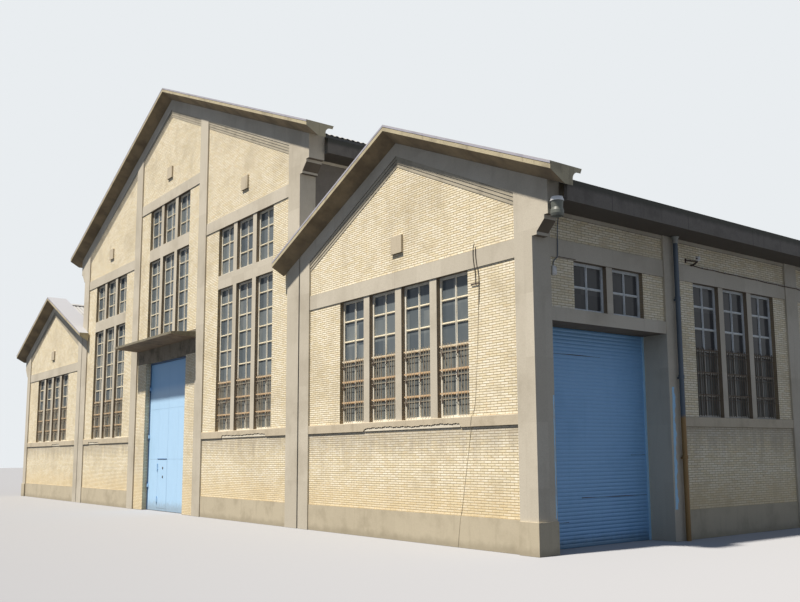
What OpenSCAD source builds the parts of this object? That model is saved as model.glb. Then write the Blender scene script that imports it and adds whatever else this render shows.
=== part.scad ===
// Factory building: a tall gabled nave between two lower gabled wings.
// Concrete frame with brick infill, steel door leaves, roller shutter.
// All sizes in mm. +Z up, front facing -Y, ground at Z = 0.

/* [Plan] */
// Half width of the nave over its corner pilasters
nave_half = 9520; // [9000:10:10000]
// Width of each wing from its inner pilaster to its corner
wing_width = 8930; // [8400:10:9300]
// Open joint between nave and wing pilasters
joint_gap = 60; // [40:5:80]
// Distance between the axes of the side piers
bay_pitch = 5000; // [4800:10:5100]
// Distance from the front face to the first side pier
first_bay = 4075; // [3900:5:4200]
// Number of full bays between the end bays on the sides
full_bays = 3; // [2:1:3]

/* [Frame] */
// Face width of the wing pilasters
wing_pilaster = 500; // [450:10:560]
// Face width of the nave corner pilasters
nave_corner = 640; // [580:10:700]
// Face width of the pilasters beside the middle bay
bay_pilaster = 600; // [540:10:660]
// Distance from the middle to the axis of those pilasters
bay_axis = 3010; // [2900:10:3100]
// Depth of the front and rear pilasters
pilaster_depth = 500; // [460:10:560]
// Face width of the side piers
side_pier = 550; // [500:10:600]
// Depth of the side piers
side_pier_depth = 640; // [580:10:700]
// How far the brickwork lies behind the pilaster faces
brick_recess = 50; // [30:5:80]
// Thickness of the brick walls
wall_thickness = 300; // [250:10:360]

/* [Heights] */
// Top of the rendered plinth
plinth_top = 640; // [560:10:740]
// Height of the brick dado from the plinth to the sill band
dado_height = 1810; // [1700:10:1900]
// Height of the sill band
sill_height = 210; // [180:5:240]
// How far the sill band lies behind the pilaster faces
sill_recess = 10; // [5:1:20]
// Height of the lower windows from the sill band to the lintel band
window_height = 3070; // [2950:10:3150]
// Height of the lintel bands
lintel_height = 380; // [320:10:420]
// How far the lintel bands lie behind the pilaster faces
lintel_recess = 25; // [15:1:28]
// Height of the brickwork between the lintel band and the wing gutter
wing_top_height = 480; // [440:10:540]
// Height of the wall face between the upper lintels and the nave gutter
nave_top_height = 560; // [520:10:620]
// Height of one corbelled brick course under the rakes
course = 85; // [75:1:95]
// Step of each corbelled course
course_step = 12; // [8:1:14]

/* [Windows] */
// Width of one window light on the gable fronts
light_width = 1060; // [1000:10:1100]
// Width of the concrete mullions on the gable fronts
mullion_width = 245; // [200:5:280]
// Width of one window light on the long sides
side_light = 990; // [940:10:1030]
// Width of the concrete mullions on the long sides
side_mullion = 190; // [160:5:220]
// Depth of the mullions from the brick face
mullion_depth = 240; // [200:10:280]
// Height of the lower windows in the outer nave bays
low_light_height = 4520; // [4440:10:4600]
// Height of the transom between the windows in the outer nave bays
transom_height = 430; // [380:10:480]
// Height of the upper windows in the outer nave bays
up_light_height = 1540; // [1460:10:1600]
// Height of the transom between the windows in the middle bay
mid_transom = 450; // [400:10:500]
// Height of the upper windows in the middle bay
mid_light_height = 1510; // [1440:10:1580]
// Thickness of the glass sheets
glass_thickness = 8; // [6:1:12]
// Distance of the glass behind the brick face
glass_setback = 133; // [110:1:150]

/* [Roof] */
// Rise of the wing verges from the corner pilaster to the ridge
wing_rise = 1942; // [1880:2:2000]
// Rise of the nave verges from the corner pilaster to the ridge
nave_rise = 4075; // [3950:5:4150]
// Height of the wing verge top over the gutter line
wing_lift = 1048; // [1020:2:1080]
// Height of the nave verge top over the gutter line
nave_lift = 1155; // [1120:5:1190]
// Depth of the wing rake beams and verges at the ridge
wing_apex_depth = 690; // [660:5:720]
// Depth of the wing rake beams and verges beside the pilasters
wing_foot_depth = 815; // [780:5:850]
// Depth of the nave rake beams and verges at the ridge
nave_apex_depth = 770; // [740:5:800]
// Depth of the nave rake beams and verges beside the pilasters
nave_foot_depth = 870; // [840:5:900]
// Upright thickness of the roof slabs
slab_thickness = 80; // [60:5:100]
// Upright thickness of the roof covering
cover_thickness = 40; // [30:5:60]
// Thickness of the ridge caps
cap_thickness = 30; // [20:2:36]
// Reach of the ridge caps down each slope
cap_reach = 220; // [180:10:260]
// Open bed under sloping slabs and sheets
bed = 1; // [1:0.5:3]
// Reach of the roof slabs past the long walls
roof_edge = 340; // [300:10:400]
// Drop from the verge top to the top of the roof covering
roof_drop = 250; // [220:10:280]
// Overhang of the verges before the pilaster faces
verge_out = 380; // [300:10:420]
// Reach of the verges behind the pilaster faces
verge_back = 480; // [440:10:520]
// Height of the front edge of the verges
verge_edge = 140; // [120:5:160]
// Height of the capping edge at the top of the verge front
verge_cap = 35; // [25:5:45]
// Height and depth of the groove under that edge
verge_groove = 25; // [15:5:35]
// Height of the rear edge of the verges
verge_rear = 90; // [80:5:110]
// Batter of the rear edge of the verges
verge_batter = 40; // [20:5:60]
// Thickness of the verges at their bed on the rake beams
verge_stem = 220; // [190:5:250]
// Radius of the hollow behind the verges
verge_cove = 140; // [120:5:150]
// Open joint between the verges and the roof
verge_joint = 20; // [10:5:40]
// Overhang of the wing verges past the corner pilasters
wing_verge_side = 900; // [850:10:980]
// Overhang of the nave verges past the corner pilasters
nave_verge_side = 980; // [900:10:1080]
// Distance from the pier faces to the gutter face
gutter_out = 660; // [600:10:720]
// Height of the gutter face
gutter_height = 430; // [390:10:450]
// Height of the concrete band between the wall top and the gutter soffit
soffit_rise = 80; // [60:10:110]
// Wall thickness of the concrete gutters
gutter_wall = 90; // [70:5:110]
// Depth of the corner capitals below the wing gutter line
wing_capital_drop = 530; // [490:10:570]
// Depth of the corner capitals below the nave gutter line
nave_capital_drop = 450; // [410:10:490]
// Reach of the wing capitals past the pilaster faces
wing_capital_out = 440; // [410:10:480]
// Reach of the nave capitals past the pilaster faces
nave_capital_out = 480; // [420:10:520]
// Depth of the wing capitals behind the front faces
wing_capital_depth = 320; // [280:10:360]
// Depth of the nave capitals behind the front faces
nave_capital_depth = 490; // [420:10:500]
// Reach of the step at the foot of the corner capitals
capital_toe = 130; // [100:5:160]
// Height of that step
capital_fillet = 60; // [40:5:90]
// Reach of the band over the slope of the corner capitals
capital_neck = 340; // [300:5:380]
// Height of the corner capitals up to that band
capital_rise = 270; // [230:5:300]
// Height of the band over the slope
capital_band = 80; // [60:5:110]

/* [Nave door] */
// Width of the door opening
door_width = 3640; // [3500:10:3700]
// Height of the door opening
door_height = 5320; // [5200:10:5400]
// Face width of the steel door frame
frame_width = 60; // [50:5:80]
// Distance of the door leaves behind the pilaster faces
leaf_setback = 235; // [220:5:260]
// Thickness of the door leaves
leaf_thickness = 50; // [40:5:60]
// Clearance round each moving leaf
leaf_gap = 8; // [6:1:12]
// Width of the wicket opening
wicket_width = 850; // [800:10:900]
// Height of the wicket opening
wicket_height = 1800; // [1750:10:1900]
// Strip of leaf between the wicket and the meeting edge
wicket_stile = 40; // [30:5:60]
// Height of the step under the wicket
wicket_step = 80; // [60:5:120]
// Open seam between the steel panels of a leaf
panel_seam = 4; // [3:1:6]
// Height of one row of steel panels
panel_row = 1790; // [1760:10:1810]
// Width of the outer panels of the upper rows
panel_width = 860; // [800:10:900]
// Clearance between the leaves and the threshold
leaf_bottom = 12; // [10:1:20]
// Radius of the hinge knuckles
hinge_radius = 14; // [12:1:16]
// Length of the knuckles on the leaves
knuckle_length = 120; // [100:5:140]
// Clearance round the moving knuckles
hinge_clear = 6; // [5:0.5:8]
// Step of the door frame before the leaves
frame_step = 15; // [12:1:18]
// Overhang of the canopy before the pilaster faces
canopy_out = 850; // [780:10:900]
// Height of the canopy top over the door opening
canopy_lift = 700; // [660:10:720]
// Height of the concrete wall over the door opening
door_wall_height = 790; // [770:10:820]
// Fall of the canopy top to its front edge
canopy_fall = 60; // [40:5:80]
// Thickness of the canopy at the wall
canopy_root = 200; // [160:10:240]
// Thickness of the canopy at its front edge
canopy_tip = 75; // [60:5:100]

/* [Shutter bay] */
// Height of the shutter opening
shutter_height = 4460; // [4300:10:4500]
// Height of the concrete band over the shutter
shutter_band = 270; // [220:10:320]
// Depth of the shutter curtain behind the gap after the piers
shutter_setback = 650; // [645:5:700]
// Thickness of the shutter curtain
curtain_thickness = 40; // [30:2:50]
// Height of one slat of the shutter curtain
slat_pitch = 78; // [70:1:90]
// Bulge of the slats
slat_depth = 12; // [8:1:16]
// Width of the shutter guides
guide_width = 70; // [60:5:90]

/* [Fittings] */
// Side of the square vent blocks
vent_size = 420; // [380:10:460]
// Projection of the vent blocks before the brick face
vent_proud = 60; // [40:5:80]
// Height of the wing vent blocks over the lintel band
wing_vent_lift = 430; // [380:10:480]
// Height of the outer nave vent blocks over the lintel bands
outer_vent_lift = 510; // [460:10:560]
// Height of the middle vent block over the lintel band
middle_vent_lift = 470; // [420:10:520]
// Outer diameter of the downpipe
pipe_diameter = 110; // [90:5:140]
// Distance of the downpipe from the pier face
pipe_gap = 40; // [25:5:60]
// Distance of the downpipe axis from the far edge of its pier
pipe_inset = 230; // [180:10:260]
// Thickness of the pipe sockets round the downpipe
socket_proud = 12; // [8:1:16]
// Height of the pipe sockets
socket_height = 80; // [60:5:110]
// Width of the pipe brackets
bracket_width = 40; // [30:2:50]
// Distance between the pipe sockets
socket_pitch = 1740; // [1600:10:1780]
// Diameter of the lamp hood
lamp_size = 265; // [240:5:290]
// Height of the lamp
lamp_height = 380; // [340:10:400]
// Clearance between the lamp and the side of its capital
lamp_gap = 28; // [20:2:40]
// Distance of the lamp axis behind the pilaster faces
lamp_inset = 90; // [60:5:120]
// Height of the lamp top over the wing gutter line
lamp_lift = 120; // [100:10:140]
// Diameter of the lamp arm
lamp_arm = 40; // [30:2:60]
// Projection of the blocks at the foot of the corner pilasters
block_proud = 35; // [15:1:40]
// Step of those blocks below the top of the plinth
block_step = 20; // [10:1:40]

/* [Hidden] */
wing_out = nave_half + joint_gap + wing_width;
wing_in = nave_half + joint_gap;
wing_mid = (wing_in + wing_out) / 2;
depth = 2 * first_bay + side_pier + full_bays * bay_pitch;
front_y = -(depth + verge_out - canopy_out) / 2;
pier_ys = [for (i = [0 : full_bays]) first_bay + i * bay_pitch];
y_in = brick_recess + wall_thickness;
sill_bottom = plinth_top + dado_height;
sill_top = sill_bottom + sill_height;
lintel_bottom = sill_top + window_height;
lintel_top = lintel_bottom + lintel_height;
wing_eave = lintel_top + wing_top_height;
low_light_top = sill_top + low_light_height;
up_light_bottom = low_light_top + transom_height;
up_light_top = up_light_bottom + up_light_height;
up_lintel_top = up_light_top + lintel_height;
nave_eave = up_lintel_top + nave_top_height;
wing_soffit = wing_eave + soffit_rise;
nave_soffit = nave_eave + soffit_rise;
mid_light_bottom = up_light_top + mid_transom;
mid_light_top = mid_light_bottom + mid_light_height;
mid_lintel_top = mid_light_top + lintel_height;
mid_low_bottom = door_height + door_wall_height;
canopy_top = door_height + canopy_lift;
plinth_recess = brick_recess - 20;
wing_ridge = wing_eave + wing_lift + wing_rise;
nave_ridge = nave_eave + nave_lift + nave_rise;
wing_slope = wing_rise / (wing_width / 2);
nave_slope = nave_rise / nave_half;
eps = 1;

// Verge tops, the lower lines of the rake beams and the undersides of the roofs.
function wing_top(x) = wing_ridge - wing_slope * abs(x - wing_mid);
function nave_top(x) = nave_ridge - nave_slope * abs(x);
wing_foot_x = wing_width / 2 - wing_pilaster;
nave_foot_x = nave_half - nave_corner;
function wing_line(x) = wing_top(x) - wing_apex_depth
    - (wing_foot_depth - wing_apex_depth) * abs(x - wing_mid) / wing_foot_x;
function nave_line(x) = nave_top(x) - nave_apex_depth
    - (nave_foot_depth - nave_apex_depth) * abs(x) / nave_foot_x;

// The roof slabs and the moulded verges share one bed on the beams.
slab_lift = -roof_drop - cover_thickness - bed;
roof_bed = slab_thickness - slab_lift;
function under_wing(x) = wing_top(x) - roof_bed - bed;
function under_nave(x) = nave_top(x) - roof_bed - bed;

// Which sub-part to draw

// Shared shapes, in a frame with Y = 0 at the front pilaster faces.

module place() translate([0, front_y, 0]) children();

module box(x0, x1, y0, y1, z0, z1)
    translate([x0, y0, z0]) cube([x1 - x0, y1 - y0, z1 - z0]);

// Upright plate between two depths, its outline given as X and Z points.
module plate(points, y0, y1)
    translate([0, y1, 0]) rotate([90, 0, 0]) linear_extrude(y1 - y0) polygon(points);

module mirror_x() {
    children();
    mirror([1, 0, 0]) children();
}

module front_and_rear() {
    children();
    translate([0, depth, 0]) mirror([0, 1, 0]) children();
}

// Bays of a gable front: low x, high x, number of lights.
wing_bay = [wing_in + wing_pilaster, wing_out - wing_pilaster];
outer_bay = [bay_axis + bay_pilaster / 2, nave_half - nave_corner];
middle_bay = [-bay_axis + bay_pilaster / 2, bay_axis - bay_pilaster / 2];

function lights_width(n, light, bar) = n * light + (n - 1) * bar;
function lights_start(bay, n, light, bar) =
    (bay[0] + bay[1]) / 2 - lights_width(n, light, bar) / 2;

side_bays = [for (i = [0 : full_bays + 1])
    [i == 0 ? pilaster_depth : pier_ys[i - 1] + side_pier,
     i == full_bays + 1 ? depth - pilaster_depth : pier_ys[i]]];
function side_lights(i) = (i == 0 || i == full_bays + 1) ? 2 : 3;

module wing_pilaster_at(x0) {
    x1 = x0 + wing_pilaster;
    plate([[x0, 0], [x1, 0], [x1, under_wing(x1)],
        [x0, under_wing(x0)]], 0, pilaster_depth);
}

module nave_pilaster_at(x0, w) {
    x1 = x0 + w;
    plate([[x0, 0], [x1, 0], [x1, under_nave(x1)],
        [x0, under_nave(x0)]], 0, pilaster_depth);
}

module gable_pilasters() {
    mirror_x() {
        wing_pilaster_at(wing_out - wing_pilaster);
        wing_pilaster_at(wing_in);
        nave_pilaster_at(nave_half - nave_corner, nave_corner);
        nave_pilaster_at(bay_axis - bay_pilaster / 2, bay_pilaster);
    }
}

module front_pilasters() place() color("#b9b0a0") gable_pilasters();

module rear_pilasters() place() color("#b3aa9b")
    translate([0, depth, 0]) mirror([0, 1, 0]) gable_pilasters();

module side_piers() place() color("#a9a194") {
    mirror_x() for (y = pier_ys)
        box(wing_out - side_pier_depth, wing_out, y, y + side_pier, 0, wing_soffit);
    box(wing_out - side_pier_depth, wing_out - wing_pilaster, y_in,
        pilaster_depth, 0, shutter_height + shutter_band);
}

module nave_columns() place() color("#a39c90")
    mirror_x() for (y = pier_ys)
        box(nave_half - nave_corner, nave_half, y, y + side_pier, 0, wing_eave);

// Wall strips of the gable fronts between the pilasters.
module gable_strip(z0, z1, y0, y1, with_middle = true) {
    mirror_x() {
        box(wing_bay[0], wing_bay[1], y0, y1, z0, z1);
        box(outer_bay[0], outer_bay[1], y0, y1, z0, z1);
    }
    if (with_middle) box(middle_bay[0], middle_bay[1], y0, y1, z0, z1);
}

module side_strip(z0, z1, x0, x1, right_skip = -1) {
    for (i = [0 : full_bays + 1]) {
        if (i != right_skip)
            box(x0, x1, side_bays[i][0], side_bays[i][1], z0, z1);
        box(-x1, -x0, side_bays[i][0], side_bays[i][1], z0, z1);
    }
}

module plinths() place() color("#8f897e") {
    gable_strip(0, plinth_top, plinth_recess, y_in, false);
    translate([0, depth, 0]) mirror([0, 1, 0])
        gable_strip(0, plinth_top, plinth_recess, y_in, true);
    side_strip(0, plinth_top, wing_out - y_in, wing_out - plinth_recess, 0);
    front_and_rear() mirror_x() {
        box(wing_out - wing_pilaster, wing_out + block_proud, -block_proud, 0,
            0, plinth_top - block_step);
        box(wing_out, wing_out + block_proud, 0, pilaster_depth,
            0, plinth_top - block_step);
    }
}

module dado_brickwork() place() color("#d8c9a0") {
    gable_strip(plinth_top, sill_bottom, brick_recess, y_in, false);
    translate([0, depth, 0]) mirror([0, 1, 0])
        gable_strip(plinth_top, sill_bottom, brick_recess, y_in, true);
    side_strip(plinth_top, sill_bottom, wing_out - y_in, wing_out - brick_recess, 0);
}

module sill_bands() place() color("#b5ac9c") {
    gable_strip(sill_bottom, sill_top, sill_recess, y_in, false);
    translate([0, depth, 0]) mirror([0, 1, 0])
        gable_strip(sill_bottom, sill_top, sill_recess, y_in, true);
    side_strip(sill_bottom, sill_top, wing_out - y_in, wing_out - sill_recess, 0);
}

// Brick piers left and right of a row of lights.
module pier_pair(bay, n, z0, z1) {
    s = lights_start(bay, n, light_width, mullion_width);
    box(bay[0], s, brick_recess, y_in, z0, z1);
    box(s + lights_width(n, light_width, mullion_width), bay[1],
        brick_recess, y_in, z0, z1);
}

module side_pier_pair(i, z0, z1) {
    n = side_lights(i);
    s = lights_start(side_bays[i], n, side_light, side_mullion);
    x1 = wing_out - brick_recess;
    box(wing_out - y_in, x1, side_bays[i][0], s, z0, z1);
    box(wing_out - y_in, x1, s + lights_width(n, side_light, side_mullion),
        side_bays[i][1], z0, z1);
}

module window_piers() place() color("#dccda4") {
    front_and_rear() {
        mirror_x() {
            pier_pair(wing_bay, 4, sill_top, lintel_bottom);
            pier_pair(outer_bay, 3, sill_top, up_light_top);
        }
        pier_pair(middle_bay, 3, mid_low_bottom, mid_light_top);
    }
    translate([0, depth, 0]) mirror([0, 1, 0])
        pier_pair(middle_bay, 3, sill_top, mid_low_bottom - eps);
    side_pier_pair(0, shutter_height + shutter_band, lintel_bottom);
    mirror([1, 0, 0]) side_pier_pair(0, sill_top, lintel_bottom);
    for (i = [1 : full_bays + 1]) mirror_x()
        side_pier_pair(i, sill_top, lintel_bottom);
}

// Concrete posts between the lights of a bay.
module posts(bay, n, z0, z1) {
    s = lights_start(bay, n, light_width, mullion_width);
    for (i = [1 : n - 1]) {
        x = s + i * light_width + (i - 1) * mullion_width;
        box(x, x + mullion_width, brick_recess, brick_recess + mullion_depth, z0, z1);
    }
}

module side_posts(i, z0, z1) {
    n = side_lights(i);
    s = lights_start(side_bays[i], n, side_light, side_mullion);
    x1 = wing_out - brick_recess;
    for (k = [1 : n - 1]) {
        y = s + k * side_light + (k - 1) * side_mullion;
        box(x1 - mullion_depth, x1, y, y + side_mullion, z0, z1);
    }
}

module mullions() place() color("#bdb4a4") {
    front_and_rear() {
        mirror_x() {
            posts(wing_bay, 4, sill_top, lintel_bottom);
            posts(outer_bay, 3, sill_top, low_light_top);
            posts(outer_bay, 3, up_light_bottom, up_light_top);
        }
        posts(middle_bay, 3, mid_low_bottom, up_light_top);
        posts(middle_bay, 3, mid_light_bottom, mid_light_top);
    }
    translate([0, depth, 0]) mirror([0, 1, 0])
        posts(middle_bay, 3, sill_top, mid_low_bottom - eps);
    side_posts(0, shutter_height + shutter_band, lintel_bottom);
    mirror([1, 0, 0]) side_posts(0, sill_top, lintel_bottom);
    for (i = [1 : full_bays + 1]) mirror_x() side_posts(i, sill_top, lintel_bottom);
}

module transom(bay, z0, z1) {
    s = lights_start(bay, 3, light_width, mullion_width);
    box(s, s + lights_width(3, light_width, mullion_width),
        brick_recess, y_in, z0, z1);
}

module transom_beams() place() color("#b8af9f") front_and_rear() {
    mirror_x() transom(outer_bay, low_light_top, up_light_bottom);
    transom(middle_bay, up_light_top, mid_light_bottom);
}

module lintel_bands() place() color("#b8af9f") {
    front_and_rear() {
        mirror_x() {
            box(wing_bay[0], wing_bay[1], lintel_recess, y_in, lintel_bottom, lintel_top);
            box(outer_bay[0], outer_bay[1], lintel_recess, y_in,
                up_light_top, up_light_top + lintel_height);
        }
        box(middle_bay[0], middle_bay[1], lintel_recess, y_in,
            mid_light_top, mid_light_top + lintel_height);
    }
    side_strip(lintel_bottom, lintel_top, wing_out - y_in, wing_out - lintel_recess);
}

// Brick panels between the lintel bands and the rake beams.
module gable_brickwork() place() color("#d8c9a0") front_and_rear() {
    mirror_x() {
        plate([[wing_bay[0], lintel_top], [wing_bay[1], lintel_top],
            [wing_bay[1], wing_line(wing_bay[1])], [wing_mid, wing_line(wing_mid)],
            [wing_bay[0], wing_line(wing_bay[0])]], brick_recess, y_in);
        plate([[outer_bay[0], up_lintel_top],
            [outer_bay[1], up_lintel_top],
            [outer_bay[1], nave_line(outer_bay[1])],
            [outer_bay[0], nave_line(outer_bay[0])]], brick_recess, y_in);
    }
    plate([[middle_bay[0], mid_lintel_top],
        [middle_bay[1], mid_lintel_top],
        [middle_bay[1], nave_line(middle_bay[1])], [0, nave_line(0)],
        [middle_bay[0], nave_line(middle_bay[0])]], brick_recess, y_in);
}

module side_top_brickwork() place() color("#cdbf99")
    side_strip(lintel_top, wing_eave, wing_out - y_in, wing_out - brick_recess);

// Three stepped brick courses that follow the underside of a rake beam.
module corbel_run(x0, z0, x1, z1) {
    for (k = [0 : 2])
        plate([[x0, z0 - (3 - k) * course], [x1, z1 - (3 - k) * course],
            [x1, z1], [x0, z0]],
            brick_recess - (k + 1) * course_step, brick_recess);
}

module wing_corbel(x0, x1)
    corbel_run(x0, wing_line(x0) - bed, x1, wing_line(x1) - bed);
module nave_corbel(x0, x1)
    corbel_run(x0, nave_line(x0) - bed, x1, nave_line(x1) - bed);

module corbel_courses() place() color("#cbbd94") front_and_rear() mirror_x() {
    wing_corbel(wing_bay[0], wing_mid - bed);
    wing_corbel(wing_mid + bed, wing_bay[1]);
    nave_corbel(outer_bay[0], outer_bay[1]);
    nave_corbel(bed, middle_bay[1]);
}

module vent(x, z) box(x - vent_size / 2, x + vent_size / 2,
    brick_recess - vent_proud, brick_recess, z, z + vent_size);

module vent_blocks() place() color("#b5ac9c") front_and_rear() {
    mirror_x() {
        vent(wing_mid, lintel_top + wing_vent_lift);
        vent((outer_bay[0] + outer_bay[1]) / 2, up_lintel_top + outer_vent_lift);
    }
    vent(0, mid_lintel_top + middle_vent_lift);
}

// Sloping concrete beams over the brick panels, one side of each ridge.
module rake_wing(x0, x1) plate([[x0, wing_line(x0)], [x1, wing_line(x1)],
    [x1, under_wing(x1)], [x0, under_wing(x0)]], 0, pilaster_depth);

module rake_nave(x0, x1) plate([[x0, nave_line(x0)], [x1, nave_line(x1)],
    [x1, under_nave(x1)], [x0, under_nave(x0)]], 0, pilaster_depth);

module rake_beams_side(s) {
    if (s > 0) {
        rake_wing(wing_mid, wing_bay[1]);
        mirror([1, 0, 0]) rake_wing(wing_bay[0], wing_mid);
    } else {
        rake_wing(wing_bay[0], wing_mid);
        mirror([1, 0, 0]) rake_wing(wing_mid, wing_bay[1]);
    }
    mirror([s > 0 ? 0 : 1, 0, 0]) {
        rake_nave(0, middle_bay[1]);
        rake_nave(outer_bay[0], outer_bay[1]);
    }
}

module rake_beams_right() place() color("#b8af9f") front_and_rear() rake_beams_side(1);
module rake_beams_left() place() color("#b3aa9b") front_and_rear() rake_beams_side(-1);

// Roof layers: a sloping sheet between two X values and two depths.
module wing_sheet(x0, x1, y0, y1, lift, t) plate([
    [x0, wing_top(x0) + lift], [x1, wing_top(x1) + lift],
    [x1, wing_top(x1) + lift - t], [x0, wing_top(x0) + lift - t]], y0, y1);

module nave_sheet(x0, x1, y0, y1, lift, t) plate([
    [x0, nave_top(x0) + lift], [x1, nave_top(x1) + lift],
    [x1, nave_top(x1) + lift - t], [x0, nave_top(x0) + lift - t]], y0, y1);

wing_verge_out = wing_out + wing_verge_side;
wing_verge_in = 2 * wing_mid - wing_verge_out;

// Section of the precast verges, square to their slope: a slab with a sloping
// soffit to the front, a hollow to the rear and a stem down to its bed.
module verge_section(bed_depth) difference() {
    polygon([[-verge_out, -verge_edge], [-verge_out, -verge_cap - verge_groove],
        [verge_groove - verge_out, -verge_cap - verge_groove],
        [verge_groove - verge_out, -verge_cap], [-verge_out, -verge_cap],
        [-verge_out, 0], [verge_back, 0],
        [verge_back - verge_batter, -verge_rear], [verge_stem + verge_cove, -verge_rear],
        [verge_stem + verge_cove, -verge_rear - verge_cove],
        [verge_stem, -verge_rear - verge_cove], [verge_stem, -bed_depth], [0, -bed_depth]]);
    translate([verge_stem + verge_cove, -verge_rear - verge_cove])
        circle(r = verge_cove, $fn = 48);
}

// One slope of a verge from its ridge at the origin, with plumb ends.
module verge_run(slope, reach) {
    turn = atan(slope);
    intersection() {
        rotate([0, turn, 0]) translate([-roof_bed, 0, 0]) rotate([90, 0, 90])
            linear_extrude(reach / cos(turn) + 2 * roof_bed)
                verge_section(roof_bed * cos(turn));
        box(0, reach, -2 * verge_out, 2 * verge_back, -slope * reach - 2 * roof_bed, eps);
    }
}

module wing_verge_outer() translate([wing_mid, 0, wing_ridge])
    verge_run(wing_slope, wing_verge_out - wing_mid);

// The inner end passes before the nave, so only its front part goes on there.
module wing_verge_inner() difference() {
    translate([wing_mid, 0, wing_ridge]) mirror([1, 0, 0])
        verge_run(wing_slope, wing_mid - wing_verge_in);
    box(wing_verge_in - eps, wing_in, -bed, 2 * verge_back, wing_eave - roof_bed, wing_ridge);
}

module nave_verge() translate([0, 0, nave_ridge])
    verge_run(nave_slope, nave_half + nave_verge_side);

module verge_side(s) front_and_rear() {
    if (s > 0) {
        wing_verge_outer();
        mirror([1, 0, 0]) wing_verge_inner();
        nave_verge();
    } else {
        wing_verge_inner();
        mirror([1, 0, 0]) wing_verge_outer();
        mirror([1, 0, 0]) nave_verge();
    }
}

module verge_slabs_right() place() color("#a89f90") verge_side(1);
module verge_slabs_left() place() color("#a0988a") verge_side(-1);

roof_y0 = verge_stem + verge_joint;
roof_y1 = depth - roof_y0;

module roof_side(s, lift, t, g) {
    mirror([s > 0 ? 0 : 1, 0, 0]) {
        wing_sheet(wing_mid + g, wing_out + roof_edge, roof_y0, roof_y1, lift, t);
        nave_sheet(g, nave_half + roof_edge, roof_y0, roof_y1, lift, t);
    }
    mirror([s > 0 ? 1 : 0, 0, 0]) difference() {
        wing_sheet(nave_half - brick_recess, wing_mid - g, roof_y0, roof_y1, lift, t);
        front_and_rear() box(nave_half - y_in, wing_in, 0, pilaster_depth, wing_eave, wing_ridge);
    }
}

module roof_slabs_right() place() color("#9c9588")
    roof_side(1, slab_lift, slab_thickness, 0);
module roof_slabs_left() place() color("#989184")
    roof_side(-1, slab_lift, slab_thickness, 0);
module roof_covering_right() place() color("#c9cdcd")
    roof_side(1, -roof_drop, cover_thickness, bed);
module roof_covering_left() place() color("#c4c8c8")
    roof_side(-1, -roof_drop, cover_thickness, bed);

// Two sloping strips over a ridge at x, with their underside at z on the ridge.
module cap(x, z, slope) {
    far = cap_reach;
    for (s = [-1, 1]) plate([[x + s * bed, z - slope * bed],
        [x + s * bed, z - slope * bed + cap_thickness],
        [x + s * far, z - slope * far + cap_thickness],
        [x + s * far, z - slope * far]], roof_y0, roof_y1);
}

module ridge_caps() place() color("#b8bcbc") {
    cap(0, nave_ridge - roof_drop + bed, nave_slope);
    mirror_x() cap(wing_mid, wing_ridge - roof_drop + bed, wing_slope);
}

// Upper walls of the nave, carried by the columns.
module nave_side_walls() place() color("#b0a795")
    mirror_x() box(nave_half - y_in, nave_half - brick_recess,
        pilaster_depth, depth - pilaster_depth, wing_eave, nave_eave);

// Concrete bands between the piers and beams over them, under the roof slabs.
module eave_beam(x, z, top_in, top_out) plate([[x - y_in, z], [x, z], [x, top_out],
    [x - y_in, top_in]], pilaster_depth, depth - pilaster_depth);

module eave_beams() place() color("#aaa294") {
    side_strip(wing_eave, wing_soffit, wing_out - y_in, wing_out - lintel_recess);
    mirror_x() {
        eave_beam(wing_out, wing_soffit, under_wing(wing_out - y_in), under_wing(wing_out));
        box(nave_half - y_in, nave_half - lintel_recess, pilaster_depth,
            depth - pilaster_depth, nave_eave, nave_soffit);
        eave_beam(nave_half, nave_soffit, under_nave(nave_half - y_in), under_nave(nave_half));
    }
}

// Boxed concrete gutters between the capitals; x is the wall face, y their start.
module gutter_soffit(x, z, y) box(x, x + gutter_out - gutter_wall, y, depth - y,
    z, z + gutter_wall);

module gutter_fascia(x, z, y) box(x + gutter_out - gutter_wall, x + gutter_out,
    y, depth - y, z, z + gutter_height);

module gutter_soffits() place() color("#857f75") mirror_x() {
    gutter_soffit(wing_out, wing_soffit, wing_capital_depth);
    gutter_soffit(nave_half, nave_soffit, nave_capital_depth);
}

module gutter_fascias() place() color("#8d867b") mirror_x() {
    gutter_fascia(wing_out, wing_soffit, wing_capital_depth);
    gutter_fascia(nave_half, nave_soffit, nave_capital_depth);
}

// Bracket blocks at the corners under the verges: a step, a slope, a band and a
// head; z is their foot, and in_z and out_z are the verge beds above them.
module capital(x, z, out, back, in_z, out_z) {
    neck_z = z + capital_rise;
    head_z = neck_z + capital_band;
    plate([[x, z], [x + capital_toe, z], [x + capital_toe, z + capital_fillet],
        [x + capital_neck, neck_z], [x + capital_neck, head_z],
        [x + out, head_z], [x + out, out_z], [x, in_z]], 0, back);
}

module corner_capitals() place() color("#b5ac9c") front_and_rear() mirror_x() {
    capital(wing_out, wing_eave - wing_capital_drop, wing_capital_out, wing_capital_depth,
        under_wing(wing_out), under_wing(wing_out + wing_capital_out));
    capital(nave_half, nave_eave - nave_capital_drop, nave_capital_out, nave_capital_depth,
        under_nave(nave_half), under_nave(nave_half + nave_capital_out));
}

// Nave door: brick piers, lintel wall, canopy and steel frame.
module door_piers() place() color("#d3c49b") mirror_x()
    box(door_width / 2, middle_bay[1], brick_recess, y_in, 0, door_height);

module door_lintel() place() color("#b8af9f")
    box(middle_bay[0], middle_bay[1], brick_recess, y_in, door_height, mid_low_bottom);

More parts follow.
